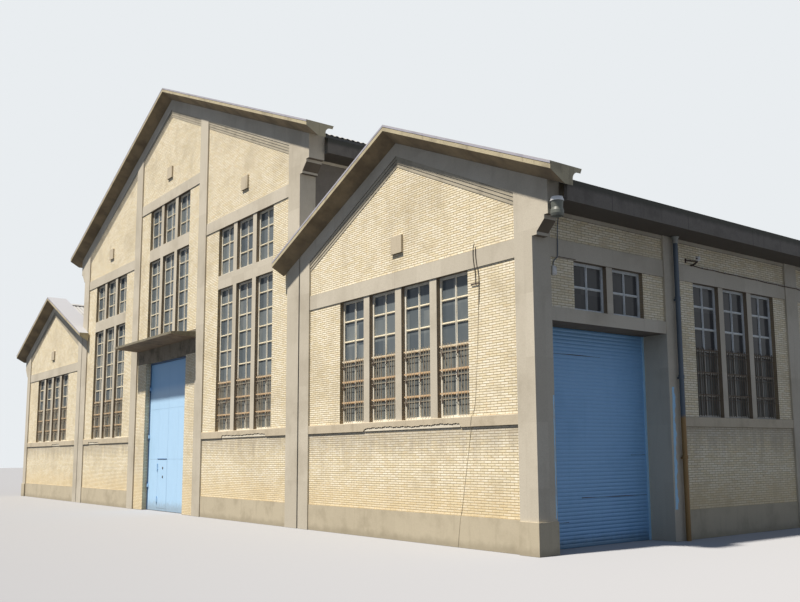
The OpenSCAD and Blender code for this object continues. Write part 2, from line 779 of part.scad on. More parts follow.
module door_canopy() place() color("#a1998b")
    translate([middle_bay[0], 0, 0]) rotate([90, 0, 90])
        linear_extrude(middle_bay[1] - middle_bay[0])
            polygon([[brick_recess, canopy_top - canopy_root],
                [brick_recess, canopy_top], [-canopy_out, canopy_top - canopy_fall],
                [-canopy_out, canopy_top - canopy_fall - canopy_tip]]);

frame_y0 = leaf_setback - frame_step;
frame_y1 = leaf_setback + leaf_thickness + frame_step;
leaf_edge = door_width / 2 - frame_width - leaf_gap;
leaf_top = door_height - frame_width - leaf_gap;
wicket_x1 = -leaf_gap / 2 - wicket_stile;
wicket_x0 = wicket_x1 - wicket_width;
wicket_z0 = leaf_bottom + wicket_step;
wicket_z1 = leaf_bottom + wicket_height;
row_1 = wicket_z1 + panel_seam;
row_2 = row_1 + panel_row;
leaf_axis = [leaf_edge + leaf_gap / 2, frame_y0 - hinge_clear - hinge_radius];
wicket_axis = [wicket_x0 + leaf_gap / 2, leaf_setback - hinge_clear - hinge_radius];
leaf_hinges = [for (k = [1, 3, 5]) leaf_top * k / 6];
wicket_hinges = [for (k = [1, 5]) wicket_z0 + (wicket_height - wicket_step) * k / 6];

// Round knuckle on an axis, with a plate that joins it to the piece at x, y.
module knuckle(axis, x, y, z0, z1) {
    translate([axis[0], axis[1], z0]) cylinder(r = hinge_radius, h = z1 - z0, $fn = 40);
    box(min(x, x + sign(x - axis[0]) * 3 * hinge_radius),
        max(x, x + sign(x - axis[0]) * 3 * hinge_radius), axis[1], y, z0, z1);
}

// The fixed knuckles stand over and under the moving one.
module fixed_knuckles(axis, x, y, levels) {
    for (z = levels) for (s = [-1, 1]) {
        z0 = z + s * (knuckle_length / 2 + hinge_clear);
        z1 = z0 + s * knuckle_length / 2;
        knuckle(axis, x, y, min(z0, z1), max(z0, z1));
    }
}

module moving_knuckles(axis, x, y, levels) for (z = levels)
    knuckle(axis, x, y, z - knuckle_length / 2, z + knuckle_length / 2);

module door_posts() place() color("#5f87a6") mirror_x() {
    box(door_width / 2 - frame_width, door_width / 2,
        frame_y0, frame_y1, 0, door_height - frame_width);
    fixed_knuckles(leaf_axis, door_width / 2 - frame_width, frame_y0, leaf_hinges);
}

module door_head() place() color("#5f87a6")
    box(-door_width / 2, door_width / 2, frame_y0, frame_y1,
        door_height - frame_width, door_height);

module panel(x0, x1, z0, z1)
    box(x0, x1, leaf_setback, leaf_setback + leaf_thickness, z0, z1);

// Two upper rows of steel panels, the same on both leaves.
module upper_panels() for (z = [[row_1, row_2 - panel_seam], [row_2, leaf_top]]) {
    panel(leaf_gap / 2, leaf_edge - panel_width - panel_seam, z[0], z[1]);
    panel(leaf_edge - panel_width, leaf_edge, z[0], z[1]);
}

module right_door_leaf() place() color("#8fb9d8") {
    upper_panels();
    panel(leaf_gap / 2, leaf_edge - panel_width - panel_seam, leaf_bottom, wicket_z1);
    panel(leaf_edge - panel_width, leaf_edge, leaf_bottom, wicket_z1);
    moving_knuckles(leaf_axis, leaf_edge, leaf_setback, leaf_hinges);
}

module left_door_leaf() place() color("#8fb9d8") {
    mirror([1, 0, 0]) upper_panels();
    panel(-leaf_edge, wicket_x0, leaf_bottom, wicket_z1);
    panel(wicket_x1, -leaf_gap / 2, leaf_bottom, wicket_z1);
    panel(wicket_x0 + panel_seam, wicket_x1 - panel_seam, leaf_bottom, wicket_z0);
    mirror([1, 0, 0]) moving_knuckles(leaf_axis, leaf_edge, leaf_setback, leaf_hinges);
    fixed_knuckles(wicket_axis, wicket_x0, leaf_setback, wicket_hinges);
}

module wicket_door() place() color("#9cc3de") {
    panel(wicket_x0 + leaf_gap, wicket_x1 - leaf_gap,
        wicket_z0 + leaf_gap, wicket_z1 - leaf_gap);
    moving_knuckles(wicket_axis, wicket_x0 + leaf_gap, leaf_setback, wicket_hinges);
}

// Shutter bay on the right side.
module shutter_band_beam() place() color("#9f978a")
    box(wing_out - side_pier_depth, wing_out - sill_recess, side_bays[0][0],
        side_bays[0][1], shutter_height, shutter_height + shutter_band);

curtain_x = wing_out - shutter_setback;

// Curtain of rounded steel slats, drawn out across the opening.
module roller_shutter() place() color("#3f74a8") {
    count = round(shutter_height / slat_pitch);
    pitch = shutter_height / count;
    flat = curtain_x - slat_depth;
    arc = [[0, 0.08], [0.75, 0.25], [1, 0.5], [0.75, 0.75], [0, 0.92]];
    plate_y0 = side_bays[0][0] + guide_width;
    plate_y1 = side_bays[0][1] - guide_width;
    plate(concat([[curtain_x - curtain_thickness, 0], [flat, 0]],
        [for (i = [0 : count - 1]) for (p = arc) [flat + slat_depth * p[0], pitch * (i + p[1])]],
        [[flat, shutter_height], [curtain_x - curtain_thickness, shutter_height]]),
        plate_y0, plate_y1);
}

module shutter_guides() place() color("#4d7fae") {
    x0 = curtain_x - curtain_thickness;
    x1 = wing_out - side_pier_depth;
    box(x0, x1, side_bays[0][0], side_bays[0][0] + guide_width, 0, shutter_height);
    box(x0, x1, side_bays[0][1] - guide_width, side_bays[0][1], 0, shutter_height);
}

// Glass, one sheet to each light.
module panes(bay, n, z0, z1) {
    s = lights_start(bay, n, light_width, mullion_width);
    y = brick_recess + glass_setback;
    for (i = [0 : n - 1]) {
        x = s + i * (light_width + mullion_width);
        box(x, x + light_width, y, y + glass_thickness, z0, z1);
    }
}

module side_panes(i, z0, z1) {
    n = side_lights(i);
    s = lights_start(side_bays[i], n, side_light, side_mullion);
    x = wing_out - brick_recess - glass_setback;
    for (k = [0 : n - 1]) {
        y = s + k * (side_light + side_mullion);
        box(x - glass_thickness, x, y, y + side_light, z0, z1);
    }
}

module window_glass() place() color("#5b6b73") {
    front_and_rear() {
        mirror_x() {
            panes(wing_bay, 4, sill_top, lintel_bottom);
            panes(outer_bay, 3, sill_top, low_light_top);
            panes(outer_bay, 3, up_light_bottom, up_light_top);
        }
        panes(middle_bay, 3, mid_low_bottom, up_light_top);
        panes(middle_bay, 3, mid_light_bottom, mid_light_top);
    }
    translate([0, depth, 0]) mirror([0, 1, 0])
        panes(middle_bay, 3, sill_top, mid_low_bottom - eps);
    side_panes(0, shutter_height + shutter_band, lintel_bottom);
    mirror([1, 0, 0]) side_panes(0, sill_top, lintel_bottom);
    for (i = [1 : full_bays + 1]) mirror_x() side_panes(i, sill_top, lintel_bottom);
}

// Downpipe on the first pier, with sockets and brackets back to the pier.
module downpipe() place() color("#6f8494") {
    x = wing_out + pipe_gap + pipe_diameter / 2;
    y = pier_ys[0] + side_pier - pipe_inset;
    translate([x, y, 0]) cylinder(d = pipe_diameter, h = wing_soffit, $fn = 40);
    for (z = [socket_pitch : socket_pitch : wing_soffit - socket_height]) {
        translate([x, y, z])
            cylinder(d = pipe_diameter + 2 * socket_proud, h = socket_height, $fn = 40);
        box(wing_out, x, y - bracket_width / 2, y + bracket_width / 2, z, z + socket_height / 2);
    }
}

// Lamp on an arm from the side of the corner capital: a cap over a turned body.
module wall_lamp() place() color("#d9dbd8") {
    r = lamp_size / 2;
    x = wing_out + wing_capital_out;
    z = wing_eave + lamp_lift - lamp_height;
    profile = [[0, 0.1], [0.7, 0], [0.86, 0], [0.98, 0.12], [0.98, 0.28], [0.84, 0.42],
        [0.9, 0.74], [1, 0.76], [1, 0.82], [0.84, 0.97], [0.5, 1], [0, 1]];
    translate([x + lamp_gap + r, lamp_inset, z]) rotate_extrude($fn = 48)
        polygon([for (p = profile) [p[0] * r, p[1] * lamp_height]]);
    translate([x, lamp_inset, z + lamp_height / 2]) rotate([0, 90, 0])
        cylinder(d = lamp_arm, h = lamp_gap + r, $fn = 24);
}

front_pilasters();
rear_pilasters();
side_piers();
nave_columns();
plinths();
dado_brickwork();
sill_bands();
window_piers();
mullions();
transom_beams();
lintel_bands();
gable_brickwork();
side_top_brickwork();
corbel_courses();
vent_blocks();
rake_beams_right();
rake_beams_left();
verge_slabs_right();
verge_slabs_left();
roof_slabs_right();
roof_slabs_left();
roof_covering_right();
roof_covering_left();
ridge_caps();
nave_side_walls();
eave_beams();
gutter_soffits();
gutter_fascias();
corner_capitals();
door_piers();
door_lintel();
door_canopy();
door_posts();
door_head();
left_door_leaf();
right_door_leaf();
wicket_door();
shutter_band_beam();
roller_shutter();
shutter_guides();
window_glass();
downpipe();
wall_lamp();
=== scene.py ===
"""Looks of a factory building: a tall gabled nave between two lower gabled wings.

Every length is in metres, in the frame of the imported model: +X right, -Y front, +Z up.
Only the sizes of patterns in the finishes are in millimetres.
"""

import logging
import math
from dataclasses import dataclass, field, replace
from enum import Enum
from typing import Any, Sequence

import bmesh
import bpy
import numpy as np
from mathutils import Matrix, Vector

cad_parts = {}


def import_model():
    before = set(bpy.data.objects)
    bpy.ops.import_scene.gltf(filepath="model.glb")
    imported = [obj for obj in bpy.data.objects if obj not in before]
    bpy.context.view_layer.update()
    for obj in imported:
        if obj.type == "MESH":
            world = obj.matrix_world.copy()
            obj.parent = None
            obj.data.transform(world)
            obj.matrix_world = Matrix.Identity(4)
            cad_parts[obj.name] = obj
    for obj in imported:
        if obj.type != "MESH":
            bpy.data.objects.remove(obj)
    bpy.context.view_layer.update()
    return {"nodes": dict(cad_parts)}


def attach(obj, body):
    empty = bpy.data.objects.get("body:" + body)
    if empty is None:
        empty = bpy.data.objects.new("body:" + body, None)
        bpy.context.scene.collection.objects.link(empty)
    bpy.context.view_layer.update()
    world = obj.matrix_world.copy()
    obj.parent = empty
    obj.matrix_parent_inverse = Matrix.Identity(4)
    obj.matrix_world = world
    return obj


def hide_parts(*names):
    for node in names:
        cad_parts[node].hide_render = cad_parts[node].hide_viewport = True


LOG = logging.getLogger("factory")
BUILDING = "building"
# Y of the front pilaster faces.
FRONT_Y = -11.615
# Height of the plinths, where the brickwork starts.
PLINTH_TOP = 0.64
# Height of a brick course with its bed joint.
COURSE = 0.05316
UP = np.array([0.0, 0.0, 1.0])

Array = np.ndarray
Faces = list[tuple[int, ...]]
Made = tuple[Array, Faces]
Span = tuple[float, float]
Tree = bpy.types.NodeTree
Socket = bpy.types.NodeSocket


def linear(code: str) -> tuple[float, float, float, float]:
    """Turns an sRGB hex colour into linear light.

    Args:
        code: Six hex digits.

    Returns:
        Red, green, blue and alpha, each channel by the sRGB curve.
    """
    channels = [int(code[i:i + 2], 16) / 255 for i in (0, 2, 4)]
    curve = [c / 12.92 if c <= 0.04045 else ((c + 0.055) / 1.055) ** 2.4 for c in channels]
    return (curve[0], curve[1], curve[2], 1.0)


class Kind(Enum):
    """What a node does: its type, its settings, its inputs in order and its output."""

    PLACE = ("TexCoord", {}, (), "Object")
    NORMAL = ("NewGeometry", {}, (), "Normal")
    LIGHT_PATH = ("LightPath", {}, (), 0)
    SPLIT = ("SeparateXYZ", {}, (0,), 0)
    JOIN = ("CombineXYZ", {}, (0, 1), 0)
    STRETCH = ("Mapping", {}, ("Vector", "Scale"), 0)
    LUMPS = ("TexNoise", {}, ("Vector", "Scale", "Detail", "Roughness"), 0)
    CHANCE = ("TexWhiteNoise", {"noise_dimensions": "2D"}, ("Vector",), 0)
    BRICKS = ("TexBrick", {"offset": 0.5, "offset_frequency": 2},
              ("Vector", "Color1", "Color2", "Mortar", "Scale", "Mortar Size",
               "Mortar Smooth", "Bias", "Brick Width", "Row Height"), 0)
    STEP = ("MapRange", {"interpolation_type": "SMOOTHSTEP"}, (0, 1, 2, 3, 4), 0)
    BLEND = ("Mix", {"data_type": "RGBA"}, (0, 6, 7), 2)
    CHOOSE = ("Mix", {}, (0, 2, 3), 0)
    PLUS = ("Math", {"operation": "ADD"}, (0, 1), 0)
    MINUS = ("Math", {"operation": "SUBTRACT"}, (0, 1), 0)
    TIMES = ("Math", {"operation": "MULTIPLY"}, (0, 1), 0)
    OVER = ("Math", {"operation": "DIVIDE"}, (0, 1), 0)
    UNSIGNED = ("Math", {"operation": "ABSOLUTE"}, (0,), 0)
    WHOLE = ("Math", {"operation": "FLOOR"}, (0,), 0)
    REST = ("Math", {"operation": "FRACT"}, (0,), 0)
    MORE = ("Math", {"operation": "GREATER_THAN"}, (0, 1), 0)
    LESS = ("Math", {"operation": "LESS_THAN"}, (0, 1), 0)
    LARGER = ("Math", {"operation": "MAXIMUM"}, (0, 1), 0)
    BUMP = ("Bump", {}, ("Strength", "Distance", "Height"), 0)
    SHADER = ("BsdfPrincipled", {},
              ("Base Color", "Roughness", "Specular IOR Level", "Normal"), 0)
    MATT = ("BsdfDiffuse", {}, ("Color", "Roughness"), 0)
    GLOW = ("Background", {}, (0, 1), 0)
    MIX_LIGHT = ("MixShader", {}, (0, 1, 2), 0)
    SURFACE = ("OutputMaterial", {}, (0,), None)
    SKY = ("OutputWorld", {}, (0,), None)


def add(tree: Tree, kind: Kind, *values: Any) -> Socket | None:
    """Adds one node with its settings, values and links.

    Args:
        tree: Node tree that takes the node.
        kind: What the node does.
        values: A number, a hex colour or a socket for each input of the kind, in order.

    Returns:
        The output of the kind, or nothing for the last node of a tree.
    """
    name, settings, places, output = kind.value
    node = tree.nodes.new("ShaderNode" + name)
    for key, setting in settings.items():
        setattr(node, key, setting)
    for place, value in zip(places, values):
        if isinstance(value, Socket):
            tree.links.new(value, node.inputs[place])
        else:
            node.inputs[place].default_value = linear(value) if isinstance(value, str) else value
    return None if output is None else node.outputs[output]


def per_metre(size: float) -> float:
    """How many lumps of a size in millimetres lie in a metre."""
    return 1000.0 / size


# A face looks along an axis where that part of its normal is larger than this.
SQUARE = 0.7
# A face looks up or down where that part of its normal is larger than this.
FLAT = 0.5
# X past which a wall belongs to a long side.
LONG_WALL_X = 18.1
# Draws a pattern out downwards, as rain does.
RUN_DOWN = (1.0, 1.0, 0.12)
# Soot in patches on undersides, laid over their painted shade.
SOOT = "382f28"


@dataclass(frozen=True)
class Ground:
    """Coordinates that every finish reads: place in the object and way a face points."""

    place: Socket
    z: Socket
    along: Socket
    down: Socket
    up: Socket
    side: Socket
    cheek_shade: Socket

    @staticmethod
    def of(tree: Tree) -> "Ground":
        """Builds the coordinates.

        Along a wall is Y on faces that look to X, else X. A cheek is a face that looks
        along its own wall.

        Args:
            tree: Node tree of the finish.

        Returns:
            The coordinates.
        """
        place = add(tree, Kind.PLACE)
        x, y, z = add(tree, Kind.SPLIT, place).node.outputs
        to_x, to_y, to_z = add(tree, Kind.SPLIT, add(tree, Kind.NORMAL)).node.outputs
        side = add(tree, Kind.MORE, add(tree, Kind.UNSIGNED, to_x), SQUARE)
        along = add(tree, Kind.CHOOSE, side, x, y)
        down = add(tree, Kind.LESS, to_z, -FLAT)
        up = add(tree, Kind.MORE, to_z, FLAT)
        long_wall = add(tree, Kind.MORE, add(tree, Kind.UNSIGNED, x), LONG_WALL_X)
        on_y = add(tree, Kind.MORE, add(tree, Kind.UNSIGNED, to_y), SQUARE)
        cheek_shade = add(tree, Kind.CHOOSE, long_wall, side, on_y)
        return Ground(place, z, along, down, up, side, cheek_shade)

    def chance(self, tree: Tree, width: float, height: float) -> Socket:
        """Gives each cell of a wall a value of its own.

        The cell is numbered by floor(along / width) and floor(z / height).

        Args:
            tree: Node tree of the finish.
            width: Width of a cell.
            height: Height of a cell.

        Returns:
            A value from 0 to 1 that is the same all over a cell.
        """
        across = add(tree, Kind.WHOLE, add(tree, Kind.OVER, self.along, width))
        above = add(tree, Kind.WHOLE, add(tree, Kind.OVER, self.z, height))
        return add(tree, Kind.CHANCE, add(tree, Kind.JOIN, across, above))


@dataclass(frozen=True)
class Patches:
    """Lumps of another tone, which sets in where a noise rises from low to high."""

    size: float
    share: float
    low: float
    high: float
    detail: float
    roughness: float = 0.55

    def over(self, tree: Tree, place: Socket, tone: Any, other: str) -> tuple[Socket, Socket]:
        """Lays the patches over a tone.

        Args:
            tree: Node tree of the finish.
            place: Coordinates in which the lumps have their size.
            tone: Colour between the patches, a hex code or a socket.
            other: Colour of the patches.

        Returns:
            The mixed colour, and the noise that drew the patches.
        """
        lumps = add(tree, Kind.LUMPS, place, per_metre(self.size), self.detail, self.roughness)
        share = add(tree, Kind.STEP, lumps, self.low, self.high, 0.0, self.share)
        return add(tree, Kind.BLEND, share, tone, other), lumps


@dataclass(frozen=True)
class Band:
    """Another tone that sets in between two heights, with a ragged edge.

    The tone starts at start, is full at full, and ends sharply at until. Its edge
    wanders by ragged, in lumps of a size in millimetres.
    """

    start: float
    full: float
    tone: str
    share: float = 1.0
    ragged: float = 0.1
    size: float = 200.0
    until: float | None = None
    streaky: bool = False

    def laid(self, tree: Tree, g: Ground, tone: Socket) -> Socket:
        """Lays the band over a tone.

        Args:
            tree: Node tree of the finish.
            g: Coordinates.
            tone: Colour below the band.

        Returns:
            The colour with the band on it.
        """
        way = add(tree, Kind.STRETCH, g.place, RUN_DOWN) if self.streaky else g.place
        lumps = add(tree, Kind.LUMPS, way, per_metre(self.size), 4.0, 0.6)
        swing = add(tree, Kind.TIMES, add(tree, Kind.MINUS, lumps, 0.5), self.ragged * 2)
        moved = add(tree, Kind.PLUS, g.z, swing)
        if self.full > self.start:
            share = add(tree, Kind.STEP, moved, self.start, self.full, 0.0, self.share)
        else:
            share = add(tree, Kind.STEP, moved, self.full, self.start, self.share, 0.0)
        if self.until is not None:
            within = Kind.LESS if self.until > self.start else Kind.MORE
            share = add(tree, Kind.TIMES, share, add(tree, within, g.z, self.until))
        return add(tree, Kind.BLEND, share, tone, self.tone)


@dataclass(frozen=True)
class Finish:
    """A finish with a base colour, a darker stain, streaks, bands and a bump.

    Lumps, grain and run are the sizes in millimetres of its clouds, its grain and its
    streaks. Real grain is 1 to 3 mm wide, too fine to show, so it is drawn 12 to 20 mm
    wide. Cloudy, streaks and lifts are how strong the clouds, the streaks and the cast
    lifts show, and board is the width and height of a lift. The depth of the bump is in
    metres. Above is the tone of faces that look up. Under is the tone of faces that look
    down, painted shade on most finishes and a brown stain on some soffits. Cheek is the
    tone of faces that look along the wall, painted shade in the reveals of the lights.
    """

    name: str
    base: str
    stain: str
    roughness: float
    lumps: float = 1400.0
    cloudy: float = 0.5
    streaks: float = 0.35
    grain: float = 20.0
    run: float = 160.0
    bump: float = 0.004
    under_shade_and_stain: str | None = None
    above: str | None = None
    cheek_shade: str | None = None
    lifts: float = 0.0
    board: Span = (0.87, 1.24)
    gloss: float = 0.5
    bands: tuple[Band, ...] = ()

    def colour(self, tree: Tree, g: Ground) -> tuple[Socket, Socket]:
        """Colour and height of the finish before weather.

        Args:
            tree: Node tree of the finish.
            g: Coordinates.

        Returns:
            A colour, and a height for the bump.
        """
        grains = Patches(self.grain, 0.3, 0.35, 0.75, 4.0)
        return grains.over(tree, g.place, self.base, self.stain)

    def weather(self, tree: Tree, g: Ground, tone: Socket) -> Socket:
        """Adds clouds, streaks that run down, cast lifts, bands and the other undersides.

        Args:
            tree: Node tree of the finish.
            g: Coordinates.
            tone: Colour of the clean finish.

        Returns:
            The weathered colour.
        """
        clouds = Patches(self.lumps, self.cloudy, 0.45, 0.72, 5.0, 0.6)
        tone, cloud = clouds.over(tree, g.place, tone, self.stain)
        drawn = add(tree, Kind.STRETCH, g.place, RUN_DOWN)
        runs = Patches(self.run, self.streaks, 0.52, 0.8, 4.0, 0.65)
        tone, _ = runs.over(tree, drawn, tone, self.stain)
        if self.lifts:
            cast = add(tree, Kind.TIMES, g.chance(tree, *self.board), self.lifts)
            tone = add(tree, Kind.BLEND, cast, tone, self.stain)
        for band in self.bands:
            tone = band.laid(tree, g, tone)
        # Faces that look down take the under tone: painted shade on most finishes, a brown stain
        # on some soffits, with patches of soot.
        if self.under_shade_and_stain:
            sooty = add(tree, Kind.STEP, cloud, 0.35, 0.7, 0.0, 0.55)
            below = add(tree, Kind.BLEND, sooty, self.under_shade_and_stain, SOOT)
            tone = add(tree, Kind.BLEND, g.down, tone, below)
        if self.above:
            tone = add(tree, Kind.BLEND, g.up, tone, self.above)
        # Cheeks, the reveals beside the lights, take a darker tone as painted shade.
        if self.cheek_shade:
            share = add(tree, Kind.TIMES, g.cheek_shade, 0.85)
            tone = add(tree, Kind.BLEND, share, tone, self.cheek_shade)
        return tone

    def material(self) -> bpy.types.Material:
        """Makes the material once, or finds the one that is there.

        Returns:
            The material.
        """
        found = bpy.data.materials.get(self.name)
        if found:
            return found
        made = bpy.data.materials.new(self.name)
        made.use_nodes = True
        tree = made.node_tree
        tree.nodes.clear()
        g = Ground.of(tree)
        tone, height = self.colour(tree, g)
        bumped = add(tree, Kind.BUMP, 0.6, self.bump, height)
        shader = add(tree, Kind.SHADER, self.weather(tree, g, tone), self.roughness,
                     self.gloss, bumped)
        add(tree, Kind.SURFACE, shader)
        return made


@dataclass(frozen=True)
class BrickFace(Finish):
    """Fired clay brick in stretcher bond, on the same course grid as the raised courses.

    The joint is drawn 8 mm wide. Pits in the face are 2 to 5 mm wide, too fine to show,
    so they are drawn 35 mm wide. Cells is how many bricks there are in a metre along and
    up the wall, so that a lump of 1000 mm there is about one brick.
    """

    joint: str = "b9a982"
    second: str = "ecddb6"
    warm: str = "e0c59b"
    patch: str = "cdbf9f"
    mortar: float = 0.008
    length: float = 0.216
    cells: tuple[float, float, float] = (4.6, 18.9, 1.0)

    def colour(self, tree: Tree, g: Ground) -> tuple[Socket, Socket]:
        """Bricks of several tones with joints that lie a little back.

        Args:
            tree: Node tree of the finish.
            g: Coordinates.

        Returns:
            A colour, and a height for the bump.
        """
        wall = add(tree, Kind.JOIN, g.along, add(tree, Kind.MINUS, g.z, PLINTH_TOP))
        lay = add(tree, Kind.BRICKS, wall, self.base, self.second, self.joint, 1.0,
                  self.mortar, 0.25, -0.25, self.length, COURSE)
        bricks = add(tree, Kind.STRETCH, wall, self.cells)
        tone, _ = Patches(1000.0, 0.45, 0.58, 0.7, 1.0).over(tree, bricks, lay, self.warm)
        tone, _ = Patches(620.0, 0.5, 0.62, 0.74, 1.0).over(tree, bricks, tone, self.stain)
        tone, _ = Patches(550.0, 0.55, 0.48, 0.68, 5.0, 0.65).over(
            tree, g.place, tone, self.patch)
        tone, pits = Patches(35.0, 0.22, 0.4, 0.75, 4.0, 0.7).over(
            tree, g.place, tone, self.joint)
        raised = add(tree, Kind.MINUS, 1.0, lay.node.outputs[1])
        return tone, add(tree, Kind.PLUS, raised, add(tree, Kind.TIMES, pits, 0.5))


@dataclass(frozen=True)
class PaneGlass(Finish):
    """Drawn window glass, dusty inside, that differs a little from pane to pane."""

    dust: str = "9a9d99"
    side_shade: str = "423b36"
    pane: Span = (0.53, 0.51)
    film: float = 350.0

    def colour(self, tree: Tree, g: Ground) -> tuple[Socket, Socket]:
        """Dark glass with pale dust in some panes, darker on the long sides as painted shade.

        Args:
            tree: Node tree of the finish.
            g: Coordinates.

        Returns:
            A colour, and a height for the bump.
        """
        chance = g.chance(tree, *self.pane)
        tone = add(tree, Kind.BLEND, chance, self.base, self.stain)
        drawn = add(tree, Kind.STRETCH, g.place, (1.0, 1.0, 0.4))
        film = add(tree, Kind.LUMPS, drawn, per_metre(self.film), 5.0, 0.55)
        share = add(tree, Kind.TIMES, add(tree, Kind.STEP, film, 0.42, 0.75, 0.1, 0.5), chance)
        tone = add(tree, Kind.BLEND, share, tone, self.dust)
        # Glass on the long sides is darkened as painted shade.
        return add(tree, Kind.BLEND, add(tree, Kind.TIMES, g.side, 0.7), tone, self.side_shade), film

    def weather(self, tree: Tree, g: Ground, tone: Socket) -> Socket:
        """Glass takes no streaks, only the dust of its bands.

        Args:
            tree: Node tree of the finish.
            g: Coordinates.
            tone: Colour of the glass.

        Returns:
            The colour with its bands.
        """
        for band in self.bands:
            tone = band.laid(tree, g, tone)
        return tone


@dataclass(frozen=True)
class JointedConcrete(Finish):
    """Precast concrete laid end to end, with dark upright joints between the pieces."""

    piece: float = 2.5
    gap: float = 0.014
    shade: str = "34322e"

    def weather(self, tree: Tree, g: Ground, tone: Socket) -> Socket:
        """Adds a dark line at every joint along the wall.

        Args:
            tree: Node tree of the finish.
            g: Coordinates.
            tone: Colour of the clean finish.

        Returns:
            The weathered colour with its joints.
        """
        tone = Finish.weather(self, tree, g, tone)
        turn = add(tree, Kind.REST, add(tree, Kind.OVER, g.along, self.piece))
        line = add(tree, Kind.LESS, turn, self.gap / self.piece)
        return add(tree, Kind.BLEND, add(tree, Kind.TIMES, line, 0.8), tone, self.shade)


# Fired cream brick: dry and matt, sandier low on the walls, grey with dirt under the sills.
CREAM_BRICK = BrickFace("cream_brick", "fbf2da", "b3a486", 0.93, cloudy=0.32, streaks=0.16,
                        bump=0.006, bands=(
                            Band(1.55, 0.75, "e0c795", 0.4, 0.4, 500.0),
                            Band(1.75, 2.45, "a0988a", 0.5, 0.6, 200.0, 2.46, True)))
# Brick beside the door, with no sill above it to stain it.
DOOR_BRICK = replace(CREAM_BRICK, name="door_brick", bands=CREAM_BRICK.bands[:1])
# Brick beside the lights, whose cheeks are darkened brown as painted shade.
PIER_BRICK = replace(CREAM_BRICK, name="pier_brick", cheek_shade="7d6c52")
# Brick of the corbel courses, grey with soot, darker on their undersides as painted shade.
CORBEL_BRICK = Finish("corbel_brick", "bab19c", "7d7565", 0.93, lumps=500.0, streaks=0.2,
                      under_shade_and_stain="51493d")
# Cast concrete frame: smooth, beige grey, a little different from lift to lift, darker
# on its undersides as painted shade.
CAST_CONCRETE = Finish("cast_concrete", "cdc5b3", "a29986", 0.88, under_shade_and_stain="645b4e", lifts=0.3)
# The same concrete between the lights, whose cheeks are darkened brown as painted shade.
MULLION_CONCRETE = replace(CAST_CONCRETE, name="mullion_concrete", cheek_shade="6b5c48")
# Concrete of the sill bands, warm and worn, darker on its undersides as painted shade.
SILL_CONCRETE = Finish("sill_concrete", "c7bba3", "9a8e77", 0.9, lumps=500.0, streaks=0.45,
                       under_shade_and_stain="7d725e")
# Lime mortar smeared under the broken sills, pale grey.
LIME_MORTAR = Finish("lime_mortar", "d6cfbd", "b3a993", 0.95, lumps=300.0, streaks=0.3)
# Precast verge slabs: pale face, grey top, and a brown soffit that is partly stain and
# partly painted shade.
VERGE_CONCRETE = Finish("verge_concrete", "c3b898", "6a6050", 0.9, lumps=700.0, streaks=0.65,
                        under_shade_and_stain="8d7e65", above="a9aaad")
# Cement render on the plinths: warm beige, pitted, dusty above the ground.
PLINTH_CEMENT = Finish("plinth_cement", "c5baa1", "9b9079", 0.95, lumps=600.0, grain=12.0,
                       lifts=0.15, bands=(Band(0.2, 0.02, "998f79", 0.6, 0.12, 250.0),))
# Weathered concrete of the canopy: mossy top, brown underside.
CANOPY_CONCRETE = Finish("canopy_concrete", "857e6b", "524e3c", 0.92, lumps=400.0,
                         streaks=0.7, under_shade_and_stain="917e68", above="575446")
# Stained concrete of the wall over the nave door.
STAINED_CONCRETE = Finish("stained_concrete", "948b7a", "554e42", 0.9, lumps=450.0,
                          cloudy=0.9, streaks=0.8)
# Concrete of the nave above the wings, dirty, and darker all over as painted shade.
SHADED_CONCRETE = Finish("shaded_concrete", "857f76", "5c564d", 0.9, under_shade_and_stain="534a3f",
                         lifts=0.35)
# Weathered concrete under the roofs and the gutters, darker still on its undersides as
# painted shade.
DARK_CONCRETE = Finish("dark_concrete", "72706a", "44423f", 0.92, streaks=0.6,
                       under_shade_and_stain="3f3b35")
# Gutter fascias: black algae along the top, lighter below, darker on their undersides as
# painted shade.
GUTTER_CONCRETE = JointedConcrete(
    "gutter_concrete", "726d66", "484540", 0.9, lumps=500.0, streaks=0.6, under_shade_and_stain="3f3b35",
    bands=(Band(6.90, 7.02, "363832", 0.85, 0.05, until=7.3, streaky=True),
           Band(10.40, 10.52, "363832", 0.85, 0.05, streaky=True)))
# Zinc flashing on the verge edge, pale grey.
FLASHING = Finish("verge_flashing", "b0aeb7", "88868f", 0.6, lumps=400.0, streaks=0.2,
                  bump=0.001)
# Corrugated fibre cement: chalky pale grey.
FIBRE_CEMENT = Finish("fibre_cement", "b3b2af", "8e8d88", 0.85, lumps=900.0, streaks=0.3)
# Oil paint on the steel doors, light blue and faded, dirty along the ground. From 4.1 m
# up it is a deeper blue, which is painted shade of the canopy.
DOOR_BLUE = Finish("door_blue_paint", "b7dbf8", "9cc3e0", 0.55, cloudy=0.3, streaks=0.25,
                   bump=0.001, bands=(Band(0.42, 0.08, "93a3ad", 0.7, 0.15, 120.0),
                                      Band(4.10, 4.50, "7fb6e4", 0.9, 0.02)))
# Blue paint on the door frame, darker than on the leaves.
FRAME_BLUE = Finish("frame_blue_paint", "41638c", "33507a", 0.55, streaks=0.2, bump=0.001)
# Oil paint on the shutter, deeper blue, dirty along the ground.
SHUTTER_BLUE = Finish("shutter_blue_paint", "86b6e0", "6a9cc9", 0.5, cloudy=0.35,
                      streaks=0.25, bump=0.001,
                      bands=(Band(0.30, 0.02, "5c7788", 0.7, 0.1, 150.0),))
# Fresh light blue paint on the shutter's guides.
GUIDE_BLUE = Finish("guide_blue_paint", "a9d8f6", "78b0da", 0.5, streaks=0.3, bump=0.001)
# Cream paint on steel glazing bars.
BAR_PAINT = Finish("bar_cream_paint", "f0ebdb", "c2b8a0", 0.6, lumps=300.0, bump=0.001)
